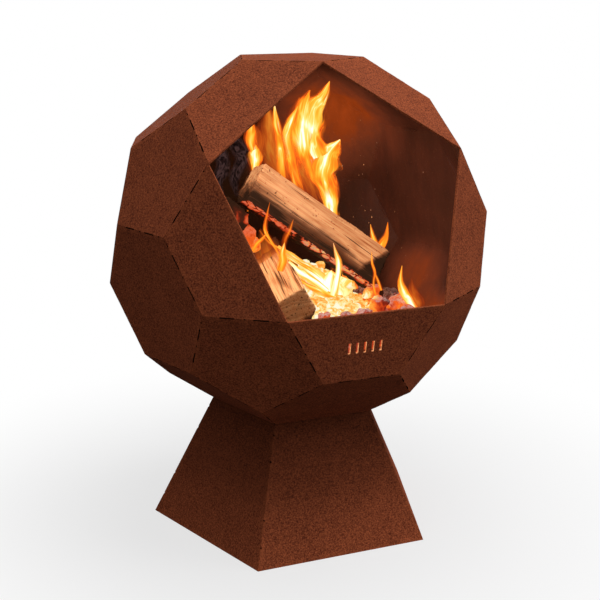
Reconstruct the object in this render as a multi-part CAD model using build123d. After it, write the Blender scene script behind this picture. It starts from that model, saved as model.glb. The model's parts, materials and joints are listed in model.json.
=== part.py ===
from build123d import *
import os
from math import atan2, cos, degrees, hypot, radians, sin, tan

# Driving dimensions of the ball, in millimetres
facet_edge = 80.0
sheet = 2.0
ash_hole_radius = 6.0
ash_hole_circle = 34.0
vent_width = 2.4
vent_height = 11.0
vent_pitch = 8.0
vent_count = 5
weld_leg = 4.0
weld_length = 22.0

# Driving dimensions of the base
rim_radius = 90.0
foot_radius = 156.0
base_height = 130.0
wall = 2.0
floor_thickness = 2.0
seat_clearance = 0.25
tab_length = 24.0
low_tab_height = 32.0
high_tab_height = 108.0
relief_radius = 1.1

# Driving dimensions of the ash tray
tray_radius = 76.0
tray_foot_radius = 68.0
tray_height = 26.0
tray_sheet = 1.5

# Driving dimensions of the grate and the fire on it
grate_radius = 130.0
grate_thickness = 4.0
grate_slot_width = 8.0
grate_slot_rows = 3
grate_slot_pitch = 20.0
grate_web = 17.0
ash_depth = 45.0
ember_radius = 118.0
ember_top_radius = 104.0
ember_depth = 20.0
mound_width = 72.0
mound_length = 128.0
mound_top_width = 26.0
mound_height = 38.0
mound_foot = (36.0, 4.0)
mound_crest = (29.0, 30.0)
fuel_clearance = 0.3
upper_log_width = 46.0
upper_log_depth = 36.0
lower_log_width = 40.0
lower_log_depth = 38.0
charred_log_width = 34.0
charred_log_depth = 36.0
log_chamfer = 5.0

# Ends of each log's middle line, from the ball's axis and from the top of the embers
upper_log_ends = ((-47.0, 17.0, 134.0), (96.0, 9.0, 30.0))
lower_log_ends = ((-35.0, -84.0, 22.0), (-5.0, 71.0, 42.0))
charred_log_ends = ((-60.0, 52.0, -5.0), (-66.0, 22.0, 130.0))

# Charcoal lumps, chosen by hand: place, size and turn
lumps = (
    (122, 0, 28, 15), (131, 36, 26, 50), (114, -40, 27, 80), (96, -72, 24, 20), (66, -98, 22, 65),
    (92, 10, 20, 35), (76, -40, 20, 10), (46, -72, 19, 55), (84, 52, 22, 40), (62, 86, 24, 5),
    (8, 96, 24, 70), (-3, 62, 30, 25), (-44, 122, 26, 45), (-90, 88, 26, 30), (-84, 10, 22, 60),
    (-82, -44, 24, 12), (-124, -22, 28, 75), (-128, 26, 27, 33), (-106, -70, 25, 52), (26, -72, 16, 28),
    (112, 74, 25, 66), (6, -60, 15, 48),
)

# Regular pentagons: a side spans 72 degrees of turn
turn = 72
side_factor = cos(radians(turn / 2))
reach = 20 * facet_edge


def bearing(polar, azimuth):
    """Direction at a polar angle from +Z, with azimuth 0 facing the front."""
    p, a = radians(polar), radians(azimuth)
    return Vector(sin(p) * sin(a), -sin(p) * cos(a), cos(p))


def prismatoid(ring_a, ring_b):
    """Flat-faced solid between two rings with as many corners as each other."""
    count = len(ring_a)
    faces = [Face(Wire.make_polygon(ring_a)), Face(Wire.make_polygon(ring_b))]
    for i in range(count):
        j = (i + 1) % count
        faces.append(Face(Wire.make_polygon([ring_a[i], ring_a[j], ring_b[j], ring_b[i]])))
    return Solid(Shell(faces))


# The ball is an icosahedron with its corners cut back by a third of each edge
parent_radius = 3 * facet_edge * sin(radians(turn))
parent_polar = degrees(atan2(2, 1))
top = bearing(0, 0) * parent_radius
bottom = bearing(180, 0) * parent_radius
upper = {k: bearing(parent_polar, turn * k) * parent_radius for k in range(-2, 3)}
lower = {k: bearing(180 - parent_polar, turn / 2 * k) * parent_radius for k in (-3, -1, 1, 3, 5)}
mouth = upper[0]


def cut_corner(a, b):
    """Corner of the ball on the parent edge from a to b, next to a."""
    return (a * 2 + b) / 3


def pentagon_corners(apex, ring):
    return [cut_corner(apex, other) for other in ring]


def hexagon_corners(a, b, c):
    """Six corners, or four where a is the mouth: then the half next to a is left out."""
    if a is mouth:
        return [cut_corner(b, a), cut_corner(b, c), cut_corner(c, b), cut_corner(c, a)]
    corners = []
    for first, second, third in ((a, b, c), (b, c, a), (c, a, b)):
        corners += [cut_corner(first, third), cut_corner(first, second)]
    return corners


facets = {
    "ball_pentagon_top": pentagon_corners(top, [upper[k] for k in range(-2, 3)]),
    "ball_pentagon_bottom": pentagon_corners(bottom, [lower[k] for k in (-3, -1, 1, 3, 5)]),
    "ball_pentagon_upper_left": pentagon_corners(
        upper[-1], [top, mouth, lower[-1], lower[-3], upper[-2]]),
    "ball_pentagon_upper_right": pentagon_corners(
        upper[1], [top, upper[2], lower[3], lower[1], mouth]),
    "ball_pentagon_upper_back_left": pentagon_corners(
        upper[-2], [top, upper[-1], lower[-3], lower[5], upper[2]]),
    "ball_pentagon_upper_back_right": pentagon_corners(
        upper[2], [top, upper[-2], lower[5], lower[3], upper[1]]),
    "ball_pentagon_lower_front_left": pentagon_corners(
        lower[-1], [mouth, lower[1], bottom, lower[-3], upper[-1]]),
    "ball_pentagon_lower_front_right": pentagon_corners(
        lower[1], [mouth, upper[1], lower[3], bottom, lower[-1]]),
    "ball_pentagon_lower_left": pentagon_corners(
        lower[-3], [upper[-1], lower[-1], bottom, lower[5], upper[-2]]),
    "ball_pentagon_lower_right": pentagon_corners(
        lower[3], [upper[1], upper[2], lower[5], bottom, lower[1]]),
    "ball_pentagon_lower_back": pentagon_corners(
        lower[5], [upper[2], upper[-2], lower[-3], bottom, lower[3]]),
    "ball_hexagon_top_right": hexagon_corners(top, upper[1], upper[2]),
    "ball_hexagon_top_back": hexagon_corners(top, upper[2], upper[-2]),
    "ball_hexagon_top_left": hexagon_corners(top, upper[-2], upper[-1]),
    "ball_hexagon_upper_right": hexagon_corners(lower[3], upper[2], upper[1]),
    "ball_hexagon_upper_back": hexagon_corners(lower[5], upper[-2], upper[2]),
    "ball_hexagon_upper_left": hexagon_corners(lower[-3], upper[-1], upper[-2]),
    "ball_hexagon_lower_right": hexagon_corners(upper[1], lower[1], lower[3]),
    "ball_hexagon_lower_back_right": hexagon_corners(upper[2], lower[3], lower[5]),
    "ball_hexagon_lower_back_left": hexagon_corners(upper[-2], lower[5], lower[-3]),
    "ball_hexagon_lower_left": hexagon_corners(upper[-1], lower[-3], lower[-1]),
    "ball_hexagon_bottom_front": hexagon_corners(bottom, lower[-1], lower[1]),
    "ball_hexagon_bottom_right": hexagon_corners(bottom, lower[1], lower[3]),
    "ball_hexagon_bottom_back_right": hexagon_corners(bottom, lower[3], lower[5]),
    "ball_hexagon_bottom_back_left": hexagon_corners(bottom, lower[5], lower[-3]),
    "ball_hexagon_bottom_left": hexagon_corners(bottom, lower[-3], lower[-1]),
    "mouth_plate_top_left": hexagon_corners(mouth, upper[-1], top),
    "mouth_plate_top_right": hexagon_corners(mouth, top, upper[1]),
    "mouth_plate_side_left": hexagon_corners(mouth, lower[-1], upper[-1]),
    "mouth_plate_side_right": hexagon_corners(mouth, upper[1], lower[1]),
    "mouth_plate_sill": hexagon_corners(mouth, lower[1], lower[-1]),
}


def facet_normal(corners):
    """Unit normal of a facet, pointing away from the ball's centre."""
    normal = (corners[1] - corners[0]).cross(corners[2] - corners[1]).normalized()
    return normal if normal.dot(corners[0]) > 0 else normal * -1


def facet_distance(corners):
    return facet_normal(corners).dot(corners[0])


bowl_facets = [name for name, corners in facets.items() if facet_normal(corners).Z < 0]


# The rim of the base carries the ball where its five bottom hexagons make a pentagon of that size
seat_normal = facet_normal(facets["ball_hexagon_bottom_front"])
seat_distance = facet_distance(facets["ball_hexagon_bottom_front"])
seat_out = -seat_normal.Y
seat_down = -seat_normal.Z


def height_in_ball(apothem, distance):
    """Height below the ball's centre at which a bottom hexagon's plane has that apothem."""
    return -(distance - seat_out * apothem) / seat_down


rim_apothem = rim_radius * side_factor
centre_height = base_height - height_in_ball(rim_apothem, seat_distance + seat_clearance)
centre = Vector(0, 0, centre_height)


def in_ball(point):
    """A point given from the ball's centre, placed in the part's frame."""
    return point + centre


def inner_corners(corners):
    distance = facet_distance(corners)
    return [corner * ((distance - sheet) / distance) for corner in corners]


def ball_plate(corners):
    """One flat plate, mitred towards the centre so that its neighbours meet it face to face."""
    outer = [in_ball(corner) for corner in corners]
    inner = [in_ball(corner) for corner in inner_corners(corners)]
    return prismatoid(outer, inner)


def bored_bottom(plate):
    """Ash and drain holes: one in the middle and one towards each corner."""
    spots = [Vector(0, 0, 0)] + [bearing(90, turn * k) * ash_hole_circle for k in range(5)]
    for spot in spots:
        hole = Cylinder(ash_hole_radius, reach, align=(Align.CENTER, Align.CENTER, Align.MAX))
        plate -= Pos(spot.X, spot.Y, centre_height) * hole
    return plate


def vented_sill(plate, corners):
    """A row of upright slots through the middle of the plate under the mouth."""
    middle = sum(corners, Vector(0, 0, 0)) / len(corners)
    face = Plane(origin=in_ball(middle), x_dir=(1, 0, 0), z_dir=facet_normal(corners))
    for i in range(vent_count):
        offset = (i - (vent_count - 1) / 2) * vent_pitch
        plate -= face * Pos(offset, 0, 0) * Box(vent_width, vent_height, 6 * sheet)
    return plate


def shared_edges():
    """Every seam of the ball: two facets' names and the two corners that they share."""
    def key(corner):
        return tuple(round(value, 3) for value in corner)
    owners = {}
    for name, corners in facets.items():
        for i, corner in enumerate(corners):
            other = corners[(i + 1) % len(corners)]
            owners.setdefault(frozenset((key(corner), key(other))), []).append((name, corner, other))
    pairs = [pair for pair in owners.values() if len(pair) == 2]
    return [(first[0], second[0], first[1], first[2]) for first, second in pairs]


def weld_section(middle, name_a, name_b, along):
    """Section of a fillet weld in the inner corner of a seam, at the seam's middle."""
    roots, legs = [], []
    for name in (name_a, name_b):
        corners = facets[name]
        distance = facet_distance(corners)
        root = middle * ((distance - sheet) / distance)
        into = along.cross(facet_normal(corners)).normalized()
        into = into if into.dot(sum(corners, Vector(0, 0, 0)) / len(corners) - middle) > 0 else into * -1
        roots.append(root)
        legs.append(root + into * weld_leg)
    same_root = (roots[0] - roots[1]).length < 0.001
    return [roots[0], legs[0], legs[1]] + ([] if same_root else [roots[1]])


def ball_welds():
    """A short stitch weld inside the middle of every seam."""
    welds = []
    for name_a, name_b, start, end in shared_edges():
        along = (end - start).normalized()
        section = weld_section((start + end) / 2, name_a, name_b, along)
        rings = []
        for side in (-weld_length / 2, weld_length / 2):
            rings.append([in_ball(point + along * side) for point in section])
        welds.append(prismatoid(rings[0], rings[1]))
    return Compound(children=welds)


# The base's wall leans inwards from the foot to the rim
foot_apothem = foot_radius * side_factor
wall_length = hypot(foot_apothem - rim_apothem, base_height)
wall_level_thickness = wall * wall_length / base_height


def wall_apothem(height, inset=0.0):
    """Apothem of the base's wall at a height, on its outer face or that far inside it."""
    slope = (foot_apothem - rim_apothem) / base_height
    return foot_apothem - slope * height - inset


def rim_inner_height():
    """Height at which the wall's inner face meets the bevel that the ball's hexagon rests on."""
    slope = (foot_apothem - rim_apothem) / base_height
    bevel = seat_out / seat_down
    return base_height - bevel * wall_level_thickness / (1 + bevel * slope)


def wall_point(azimuth_a, apothem_a, azimuth_b, apothem_b, height):
    """Where two upright planes, each given by its azimuth and apothem, cross at a height."""
    ax, ay = sin(radians(azimuth_a)), -cos(radians(azimuth_a))
    bx, by = sin(radians(azimuth_b)), -cos(radians(azimuth_b))
    det = ax * by - ay * bx
    x = (apothem_a * by - apothem_b * ay) / det
    y = (ax * apothem_b - bx * apothem_a) / det
    return Vector(x, y, height)


def base_panel(azimuth):
    """One wall panel, mitred at its two corners and bevelled at the rim."""
    outline = [
        (wall_apothem(0), 0),
        (rim_apothem, base_height),
        (wall_apothem(rim_inner_height(), wall_level_thickness), rim_inner_height()),
        (wall_apothem(0, wall_level_thickness), 0),
    ]
    rings = []
    for side in (-turn, turn):
        rings.append([wall_point(azimuth, a, azimuth + side, a, z) for a, z in outline])
    return prismatoid(rings[0], rings[1])


def corner_tab(azimuth, middle_height):
    """Wedge of the next panel's corner that the tab of the panel at this azimuth fills."""
    rings = []
    for height in (middle_height - tab_length / 2, middle_height + tab_length / 2):
        outer, inner = wall_apothem(height), wall_apothem(height, wall_level_thickness)
        following = azimuth + turn
        rings.append([
            wall_point(azimuth, outer, following, outer, height),
            wall_point(azimuth, inner, following, inner, height),
            wall_point(azimuth, inner, following, outer, height),
        ])
    return prismatoid(rings[0], rings[1])


def corner_relief(azimuth, height):
    """Small hole at the end of a tab, straight through the corner after this panel."""
    corner = wall_point(azimuth, wall_apothem(height), azimuth + turn, wall_apothem(height), height)
    outward = bearing(90, azimuth + turn / 2)
    return Plane(origin=corner, z_dir=outward) * Cylinder(relief_radius, 6 * wall)


tab_heights = (low_tab_height, high_tab_height)


def joined_panel(azimuth):
    """Panel with its own tabs, the notches for its neighbour's tabs, and their relief holes."""
    panel = base_panel(azimuth)
    for height in tab_heights:
        panel += corner_tab(azimuth, height)
        panel -= corner_tab(azimuth - turn, height)
        for end in (-tab_length / 2, tab_length / 2):
            panel -= corner_relief(azimuth, height + end)
            panel -= corner_relief(azimuth - turn, height + end)
    return panel


def pentagon_ring(apothem, height):
    return [wall_point(turn * k, apothem, turn * (k + 1), apothem, height) for k in range(5)]


def base_floor():
    """Floor plate flush with the foot, let in between the wall panels."""
    low = wall_apothem(0, wall_level_thickness)
    high = wall_apothem(floor_thickness, wall_level_thickness)
    return prismatoid(pentagon_ring(low, 0), pentagon_ring(high, floor_thickness))


def corner_weld(azimuth, height):
    """Fillet weld inside a base corner, between its tabs."""
    middle = azimuth + turn / 2
    along_walls = [bearing(90, middle + side * (90 + turn / 2)) * weld_leg for side in (-1, 1)]
    rings = []
    for end in (-weld_length / 2, weld_length / 2):
        inner = wall_apothem(height + end, wall_level_thickness)
        root = wall_point(azimuth, inner, azimuth + turn, inner, height + end)
        rings.append([root, root + along_walls[0], root + along_walls[1]])
    return prismatoid(rings[0], rings[1])


def floor_weld(azimuth):
    """Fillet weld along the floor plate, in the middle of a wall panel."""
    outward, sideways = bearing(90, azimuth), bearing(90, azimuth + 90)
    rings = []
    for side in (-weld_length / 2, weld_length / 2):
        ring = []
        for inset, height in ((0, 0), (weld_leg, 0), (0, weld_leg)):
            level = floor_thickness + height
            apothem = wall_apothem(level, wall_level_thickness) - inset
            ring.append(outward * apothem + sideways * side + Vector(0, 0, level))
        rings.append(ring)
    return prismatoid(rings[0], rings[1])


def base_welds():
    middle = (low_tab_height + high_tab_height) / 2
    corners = [corner_weld(turn * k, middle) for k in range(5)]
    return Compound(children=corners + [floor_weld(turn * k) for k in range(5)])


def ash_tray():
    """Five-sided pressed pan with leaning walls, open at the top."""
    level = floor_thickness + seat_clearance
    foot, rim = tray_foot_radius * side_factor, tray_radius * side_factor
    lean = (rim - foot) / tray_height
    inner_foot = foot + lean * tray_sheet - tray_sheet
    outside = prismatoid(pentagon_ring(foot, level), pentagon_ring(rim, level + tray_height))
    inside = prismatoid(pentagon_ring(inner_foot, level + tray_sheet),
                        pentagon_ring(rim - tray_sheet, level + tray_height))
    return outside - inside


# The grate is a pentagon that rests by its edges on the five bottom hexagons
grate_apothem = grate_radius * side_factor
bowl_distance = seat_distance - sheet - seat_clearance
grate_level = centre_height + height_in_ball(grate_apothem, bowl_distance)
ash_level = grate_level + grate_thickness
ember_level = ash_level + ash_depth
fuel_level = ember_level + ember_depth


def fire_grate():
    """Flat plate with rows of slots along each side and a round hole in the middle."""
    plate = prismatoid(pentagon_ring(grate_apothem, grate_level),
                       pentagon_ring(grate_apothem, grate_level + grate_thickness))
    for k in range(5):
        for row in range(grate_slot_rows):
            apothem = grate_apothem - grate_web - row * grate_slot_pitch
            length = 2 * apothem * tan(radians(turn / 2)) - 2 * grate_web
            slot = extrude(SlotOverall(length, grate_slot_width), 2 * grate_thickness, both=True)
            place = Plane(origin=bearing(90, turn * k) * apothem + Vector(0, 0, grate_level),
                          x_dir=bearing(90, turn * k + 90), z_dir=(0, 0, 1))
            plate -= place * slot
    return plate - Pos(0, 0, grate_level) * Cylinder(grate_slot_width, 4 * grate_thickness)


def half_space(origin, outward):
    """Block that holds everything on the outward side of a plane."""
    beyond = Box(reach, reach, reach, align=(Align.CENTER, Align.CENTER, Align.MIN))
    return Plane(origin=origin, z_dir=outward) * beyond


def ash_bed():
    """Ash that fills the bowl above the grate, up to the inner faces of the plates."""
    full = Cylinder(parent_radius, ash_depth, align=(Align.CENTER, Align.CENTER, Align.MIN))
    bed = Pos(0, 0, ash_level) * full
    for name in bowl_facets:
        normal = facet_normal(facets[name])
        distance = facet_distance(facets[name]) - sheet - weld_leg / 2
        bed -= half_space(in_ball(normal * distance), normal)
    return bed


def heap_ring(middle, width, length, level):
    """Ten-sided outline of a heap at one level."""
    ring = []
    for k in range(10):
        way = bearing(90, turn / 2 * k)
        ring.append(Vector(middle[0] + way.X * width / 2, middle[1] + way.Y * length / 2, level))
    return ring


def ember_bed():
    """Low round heap of embers on the ash."""
    foot = heap_ring((0, 0), 2 * ember_radius, 2 * ember_radius, ember_level)
    crest = heap_ring((0, 0), 2 * ember_top_radius, 2 * ember_top_radius, fuel_level)
    return prismatoid(foot, crest)


def ember_mound():
    """Burning coals heaped beside the lower log and under the upper one."""
    crest_length = mound_length * mound_top_width / mound_width
    foot = heap_ring(mound_foot, mound_width, mound_length, fuel_level)
    crest = heap_ring(mound_crest, mound_top_width, crest_length, fuel_level + mound_height)
    return prismatoid(foot, crest)


def log_frame(start, end, facing):
    """Frame at a log's start: Z runs along it, Y the way its split face looks, X up across it."""
    along = (end - start).normalized()
    face = (facing - along * facing.dot(along)).normalized()
    return Plane(origin=start, x_dir=face.cross(along), z_dir=along)


def split_log(start, end, facing, width, depth, grow=0.0):
    """Log with a flat split face across its width and a rounder bark side behind."""
    half, deep = width / 2 + grow, depth / 2 + grow
    outline = Polygon(
        (half, deep), (-half, deep), (-half, 2 * log_chamfer - deep), (2 * log_chamfer - half, -deep),
        (half - 2 * log_chamfer, -deep), (half, 2 * log_chamfer - deep), align=None)
    log = extrude(outline, (end - start).length + 2 * grow)
    return log_frame(start, end, facing) * Pos(0, 0, -grow) * log


def on_fire(x, y, height):
    """Point over the embers, given from the ball's axis and the top of the heap."""
    return Vector(x, y, fuel_level + height)


def log_on_fire(ends, facing, width, depth):
    """Ends of a log's middle line, the way its split face looks, and its section."""
    return on_fire(*ends[0]), on_fire(*ends[1]), facing, width, depth


upper_log = log_on_fire(upper_log_ends, Vector(0.1, -0.95, 0.3), upper_log_width, upper_log_depth)
lower_log = log_on_fire(lower_log_ends, Vector(-0.5, 0, 0.85), lower_log_width, lower_log_depth)
charred_log = log_on_fire(charred_log_ends, Vector(0.1, -1, 0.2), charred_log_width, charred_log_depth)


def charcoal_lump(x, y, size, angle):
    """Broken block that lies flat on the heap, or on the ash beside it."""
    level = fuel_level if hypot(x, y) < ember_top_radius else ember_level
    block = Box(size * 1.2, size * 0.9, size)
    block &= Rotation(35, 20, 30) * Box(size * 1.1, size * 1.1, size * 1.15)
    block &= Rotation(-25, 40, 75) * Box(size * 1.2, size * 1.05, size * 1.2)
    lump = Pos(x, y, level + size * 0.3) * Rotation(0, 0, angle) * block
    return lump - half_space(Vector(0, 0, level), Vector(0, 0, -1))


def charcoal_lumps():
    """All lumps, each cut clear of the logs bedded in them and of the heaps' edges."""
    neighbours = [split_log(*log, grow=fuel_clearance) for log in (upper_log, lower_log, charred_log)]
    neighbours += [ember_bed(), ember_mound()]
    pieces = []
    for lump in lumps:
        piece = charcoal_lump(*lump)
        for neighbour in neighbours:
            piece -= neighbour
        pieces += piece.solids().sort_by(SortBy.VOLUME)[-1:]
    return Compound(children=pieces)


def charred_post():
    """Burnt log that stands on the heap, burnt away where the upper log lies on it."""
    frame = log_frame(*upper_log[:3])
    underside = upper_log[0] - frame.x_dir * (upper_log_width / 2 + fuel_clearance)
    post = split_log(*charred_log) - half_space(underside, frame.x_dir)
    return post - half_space(Vector(0, 0, fuel_level), Vector(0, 0, -1))


def parts():
    """Every piece by its node's name."""
    made = {name: ball_plate(corners) for name, corners in facets.items()}
    made["ball_pentagon_bottom"] = bored_bottom(made["ball_pentagon_bottom"])
    made["mouth_plate_sill"] = vented_sill(made["mouth_plate_sill"], facets["mouth_plate_sill"])
    made["ball_stitch_welds"] = ball_welds()
    places = {"front": 0, "right": 1, "back_right": 2, "back_left": 3, "left": 4}
    for place, k in places.items():
        made["base_panel_" + place] = joined_panel(turn * k)
    made["base_floor"] = base_floor()
    made["base_stitch_welds"] = base_welds()
    made["ash_tray"] = ash_tray()
    made["fire_grate"] = fire_grate()
    made["ash_bed"] = ash_bed()
    made["ember_bed"] = ember_bed()
    made["ember_mound"] = ember_mound()
    made["charcoal_lumps"] = charcoal_lumps()
    made["charred_log"] = charred_post()
    made["upper_log"] = split_log(*upper_log)
    made["lower_log"] = split_log(*lower_log)
    return made


os.makedirs("parts", exist_ok=True)
for node, shape in parts().items():
    export_step(shape, "parts/" + node + ".step")
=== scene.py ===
import json
import math
import random

import bmesh
import bpy
from mathutils import Matrix, Vector, noise
from mathutils.bvhtree import BVHTree


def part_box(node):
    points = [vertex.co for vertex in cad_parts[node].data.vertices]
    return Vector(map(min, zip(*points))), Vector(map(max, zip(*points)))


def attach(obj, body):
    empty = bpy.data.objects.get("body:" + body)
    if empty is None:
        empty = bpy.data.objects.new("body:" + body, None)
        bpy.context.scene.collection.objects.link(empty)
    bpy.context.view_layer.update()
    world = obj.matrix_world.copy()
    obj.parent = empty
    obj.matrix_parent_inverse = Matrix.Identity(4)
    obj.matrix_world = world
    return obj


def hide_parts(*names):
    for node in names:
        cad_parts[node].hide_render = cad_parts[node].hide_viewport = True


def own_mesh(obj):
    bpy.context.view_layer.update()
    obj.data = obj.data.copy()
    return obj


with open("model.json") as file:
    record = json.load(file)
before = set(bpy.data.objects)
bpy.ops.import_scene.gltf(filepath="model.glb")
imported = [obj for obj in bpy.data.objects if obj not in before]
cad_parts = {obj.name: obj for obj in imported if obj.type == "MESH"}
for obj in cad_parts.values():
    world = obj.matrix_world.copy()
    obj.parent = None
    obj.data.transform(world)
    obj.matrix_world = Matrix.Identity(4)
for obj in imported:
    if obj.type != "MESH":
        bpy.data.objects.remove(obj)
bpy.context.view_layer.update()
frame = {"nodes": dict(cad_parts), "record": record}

bl_info = {
    "name": "Tabletop brazier",
    "version": (1, 0, 0),
    "blender": (4, 5, 0),
    "location": "View3D > Sidebar > Brazier",
    "description": "Rusted plates, hearth and fire of a faceted tabletop brazier",
    "category": "Add Mesh",
}

MM = 0.001
ball_centre = Vector((0, 0, (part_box("ball_pentagon_top")[1].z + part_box("ball_pentagon_bottom")[0].z) / 2))
ember_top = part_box("ember_bed")[1].z


def nodes_named(*beginnings):
    """CAD nodes whose names begin in one of the given ways, in order."""
    return sorted(name for name in frame["nodes"] if name.startswith(beginnings))


def from_centre(point):
    """A place given in millimetres from the ball's centre."""
    return ball_centre + Vector(point) * MM


ball_plates = nodes_named("ball_pentagon", "ball_hexagon", "mouth_plate")
base_panels = nodes_named("base_panel")


def body_of(node):
    """The body that a CAD node rides on."""
    bodies = frame["record"]["behaviour"]["bodies"]
    return next(body for body, members in bodies.items() if node in members)


# Settings

def colour_setting(name, description, default):
    """A colour that a user can change."""
    return bpy.props.FloatVectorProperty(
        name=name, description=description, subtype="COLOR", default=default, min=0, max=1)


def length_setting(name, description, default):
    """A length that a user can change."""
    return bpy.props.FloatProperty(
        name=name, description=description, default=default, min=0, unit="LENGTH")


def share_setting(name, description, default):
    """A share or a level that a user can change."""
    return bpy.props.FloatProperty(
        name=name, description=description, default=default, min=0, subtype="FACTOR")


class SteelSettings(bpy.types.PropertyGroup):
    """Finish of the plates and of what is welded or laid inside them."""
    light_rust: colour_setting(
        "Light rust", "Colour of the fresh, orange side of the rust", (0.53, 0.130, 0.050))
    dark_rust: colour_setting(
        "Dark rust", "Colour of the old, brown side of the rust", (0.125, 0.027, 0.013))
    edge_rust: colour_setting(
        "Edge rust", "Colour where handling wears the plates' edges", (0.50, 0.125, 0.045))
    soot: colour_setting("Soot", "Colour of the sooted inner side", (0.022, 0.008, 0.005))
    edge_round: length_setting("Edge rounding", "Width of the rounded edge of a plate", 0.35 * MM)
    wear_width: length_setting("Wear width", "How far the wear reaches in from an edge", 5 * MM)
    slot_depth: length_setting("Seam slot depth", "How far each plate is cut back in a seam slot", 0.7 * MM)


class HearthSettings(bpy.types.PropertyGroup):
    """Logs, charcoal, embers and ash."""
    pale_wood: colour_setting("Pale wood", "Colour of freshly split wood", (0.76, 0.47, 0.26))
    brown_wood: colour_setting("Brown wood", "Colour of the lower log's split faces", (0.63, 0.41, 0.21))
    dark_grain: colour_setting("Dark grain", "Colour of the darker growth lines", (0.36, 0.14, 0.055))
    char: colour_setting("Char", "Colour of charred wood", (0.026, 0.015, 0.010))
    ash: colour_setting("Ash", "Colour of wood ash", (0.42, 0.37, 0.35))
    log_voxel: length_setting("Log detail", "Size of the faces that shape a log", 1.7 * MM)
    bed_voxel: length_setting("Bed detail", "Size of the faces that shape the bed of embers", 2.4 * MM)


class FireSettings(bpy.types.PropertyGroup):
    """Flames, glow and sparks."""
    flame_thickness: share_setting("Flame thickness", "Thickness of a flame as a share of its width", 0.42)
    wall_glow: share_setting("Wall glow", "How strongly the fire lights the inner walls", 1.0)
    spark_count: bpy.props.IntProperty(
        name="Sparks", description="Sparks in the air over the fire", default=46, min=0)


class StageSettings(bpy.types.PropertyGroup):
    """Camera, lamps and floor."""
    lens: bpy.props.FloatProperty(
        name="Lens", description="Focal length in millimetres", default=71.41, min=1)
    lamp_share: share_setting("Lamp level", "Power of all lamps together", 1.0)
    floor_colour: colour_setting("Floor", "Colour of the floor", (0.9, 0.9, 0.9))


# Node trees

class Graph:
    """Writes a node tree: each call adds one node, and sets or links its inputs."""

    def __init__(self, tree):
        self.tree = tree

    def add(self, kind, values=None, **settings):
        made = self.tree.nodes.new("ShaderNode" + kind)
        for name, value in settings.items():
            setattr(made, name, value)
        for key, value in (values or {}).items():
            self.feed(made.inputs[key], value)
        return made

    def feed(self, socket, value):
        if isinstance(value, bpy.types.NodeSocket):
            self.tree.links.new(value, socket)
        else:
            socket.default_value = value

    def maths(self, operation, *values, clamp=False):
        made = self.add("Math", operation=operation, use_clamp=clamp)
        for socket, value in zip(made.inputs, values):
            self.feed(socket, value)
        return made.outputs[0]

    def plus(self, a, b, clamp=False):
        return self.maths("ADD", a, b, clamp=clamp)

    def minus(self, a, b):
        return self.maths("SUBTRACT", a, b)

    def times(self, a, b, clamp=False):
        return self.maths("MULTIPLY", a, b, clamp=clamp)

    def distance(self, a, b):
        return self.add("VectorMath", {0: a, 1: b}, operation="DISTANCE").outputs["Value"]

    def grey(self, value):
        """The colour with that value in each channel."""
        return self.add("CombineColor", {0: value, 1: value, 2: value}).outputs[0]

    def mix(self, factor, a, b, blend="MIX"):
        """Colour a where the factor is 0 and b where it is 1."""
        made = self.add("Mix", {0: factor, 6: a, 7: b}, data_type="RGBA", blend_type=blend)
        return made.outputs[2]

    def span(self, value, low, high, to_low=0.0, to_high=1.0, smooth=False):
        """Value, from low to high, brought to another range and held there."""
        values = {"Value": value, "From Min": low, "From Max": high, "To Min": to_low, "To Max": to_high}
        kind = "SMOOTHSTEP" if smooth else "LINEAR"
        return self.add("MapRange", values, interpolation_type=kind).outputs[0]

    def noise(self, place, scale, detail=2.0, roughness=0.5, distortion=0.0):
        values = {"Vector": place, "Scale": scale, "Detail": detail, "Roughness": roughness,
                  "Distortion": distortion}
        return self.add("TexNoise", values).outputs[0]

    def stretch(self, place, scale):
        return self.add("Mapping", {"Vector": place, "Scale": scale}).outputs[0]

    def ramp(self, factor, stops):
        """Colour ramp through (place, colour) stops."""
        made = self.add("ValToRGB", {0: factor})
        elements = made.color_ramp.elements
        while len(elements) < len(stops):
            elements.new(1.0)
        for element, (place, colour) in zip(elements, stops):
            element.position = place
            element.color = (*colour, 1)
        return made.outputs[0]

    def object_place(self):
        return self.add("TexCoord").outputs["Object"]

    def attribute(self, name, output="Fac"):
        return self.add("Attribute", attribute_name=name).outputs[output]

    def group(self, tree, **values):
        made = self.add("Group", node_tree=tree)
        for name, value in values.items():
            self.feed(made.inputs[name.replace("_", " ").capitalize()], value)
        return made

    def normal(self, height, strength, distance):
        return self.add("Bump", {"Height": height, "Strength": strength, "Distance": distance}).outputs[0]


SOCKETS = {"float": "NodeSocketFloat", "colour": "NodeSocketColor", "vector": "NodeSocketVector"}
groups = {}


def effect(name, inputs, outputs):
    """Starts a node group with named inputs and outputs. The function below it fills the group in."""
    def build(fill):
        def group():
            if name not in groups:
                tree = bpy.data.node_groups.new(name, "ShaderNodeTree")
                for socket, kind in inputs.items():
                    tree.interface.new_socket(socket, in_out="INPUT", socket_type=SOCKETS[kind])
                for socket, kind in outputs.items():
                    tree.interface.new_socket(socket, in_out="OUTPUT", socket_type=SOCKETS[kind])
                graph = Graph(tree)
                given = tree.nodes.new("NodeGroupInput").outputs
                results = fill(graph, *[given[socket] for socket in inputs])
                last = tree.nodes.new("NodeGroupOutput")
                for socket, value in zip(outputs, results):
                    tree.links.new(value, last.inputs[socket])
                groups[name] = tree
            return groups[name]
        return group
    return build


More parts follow.
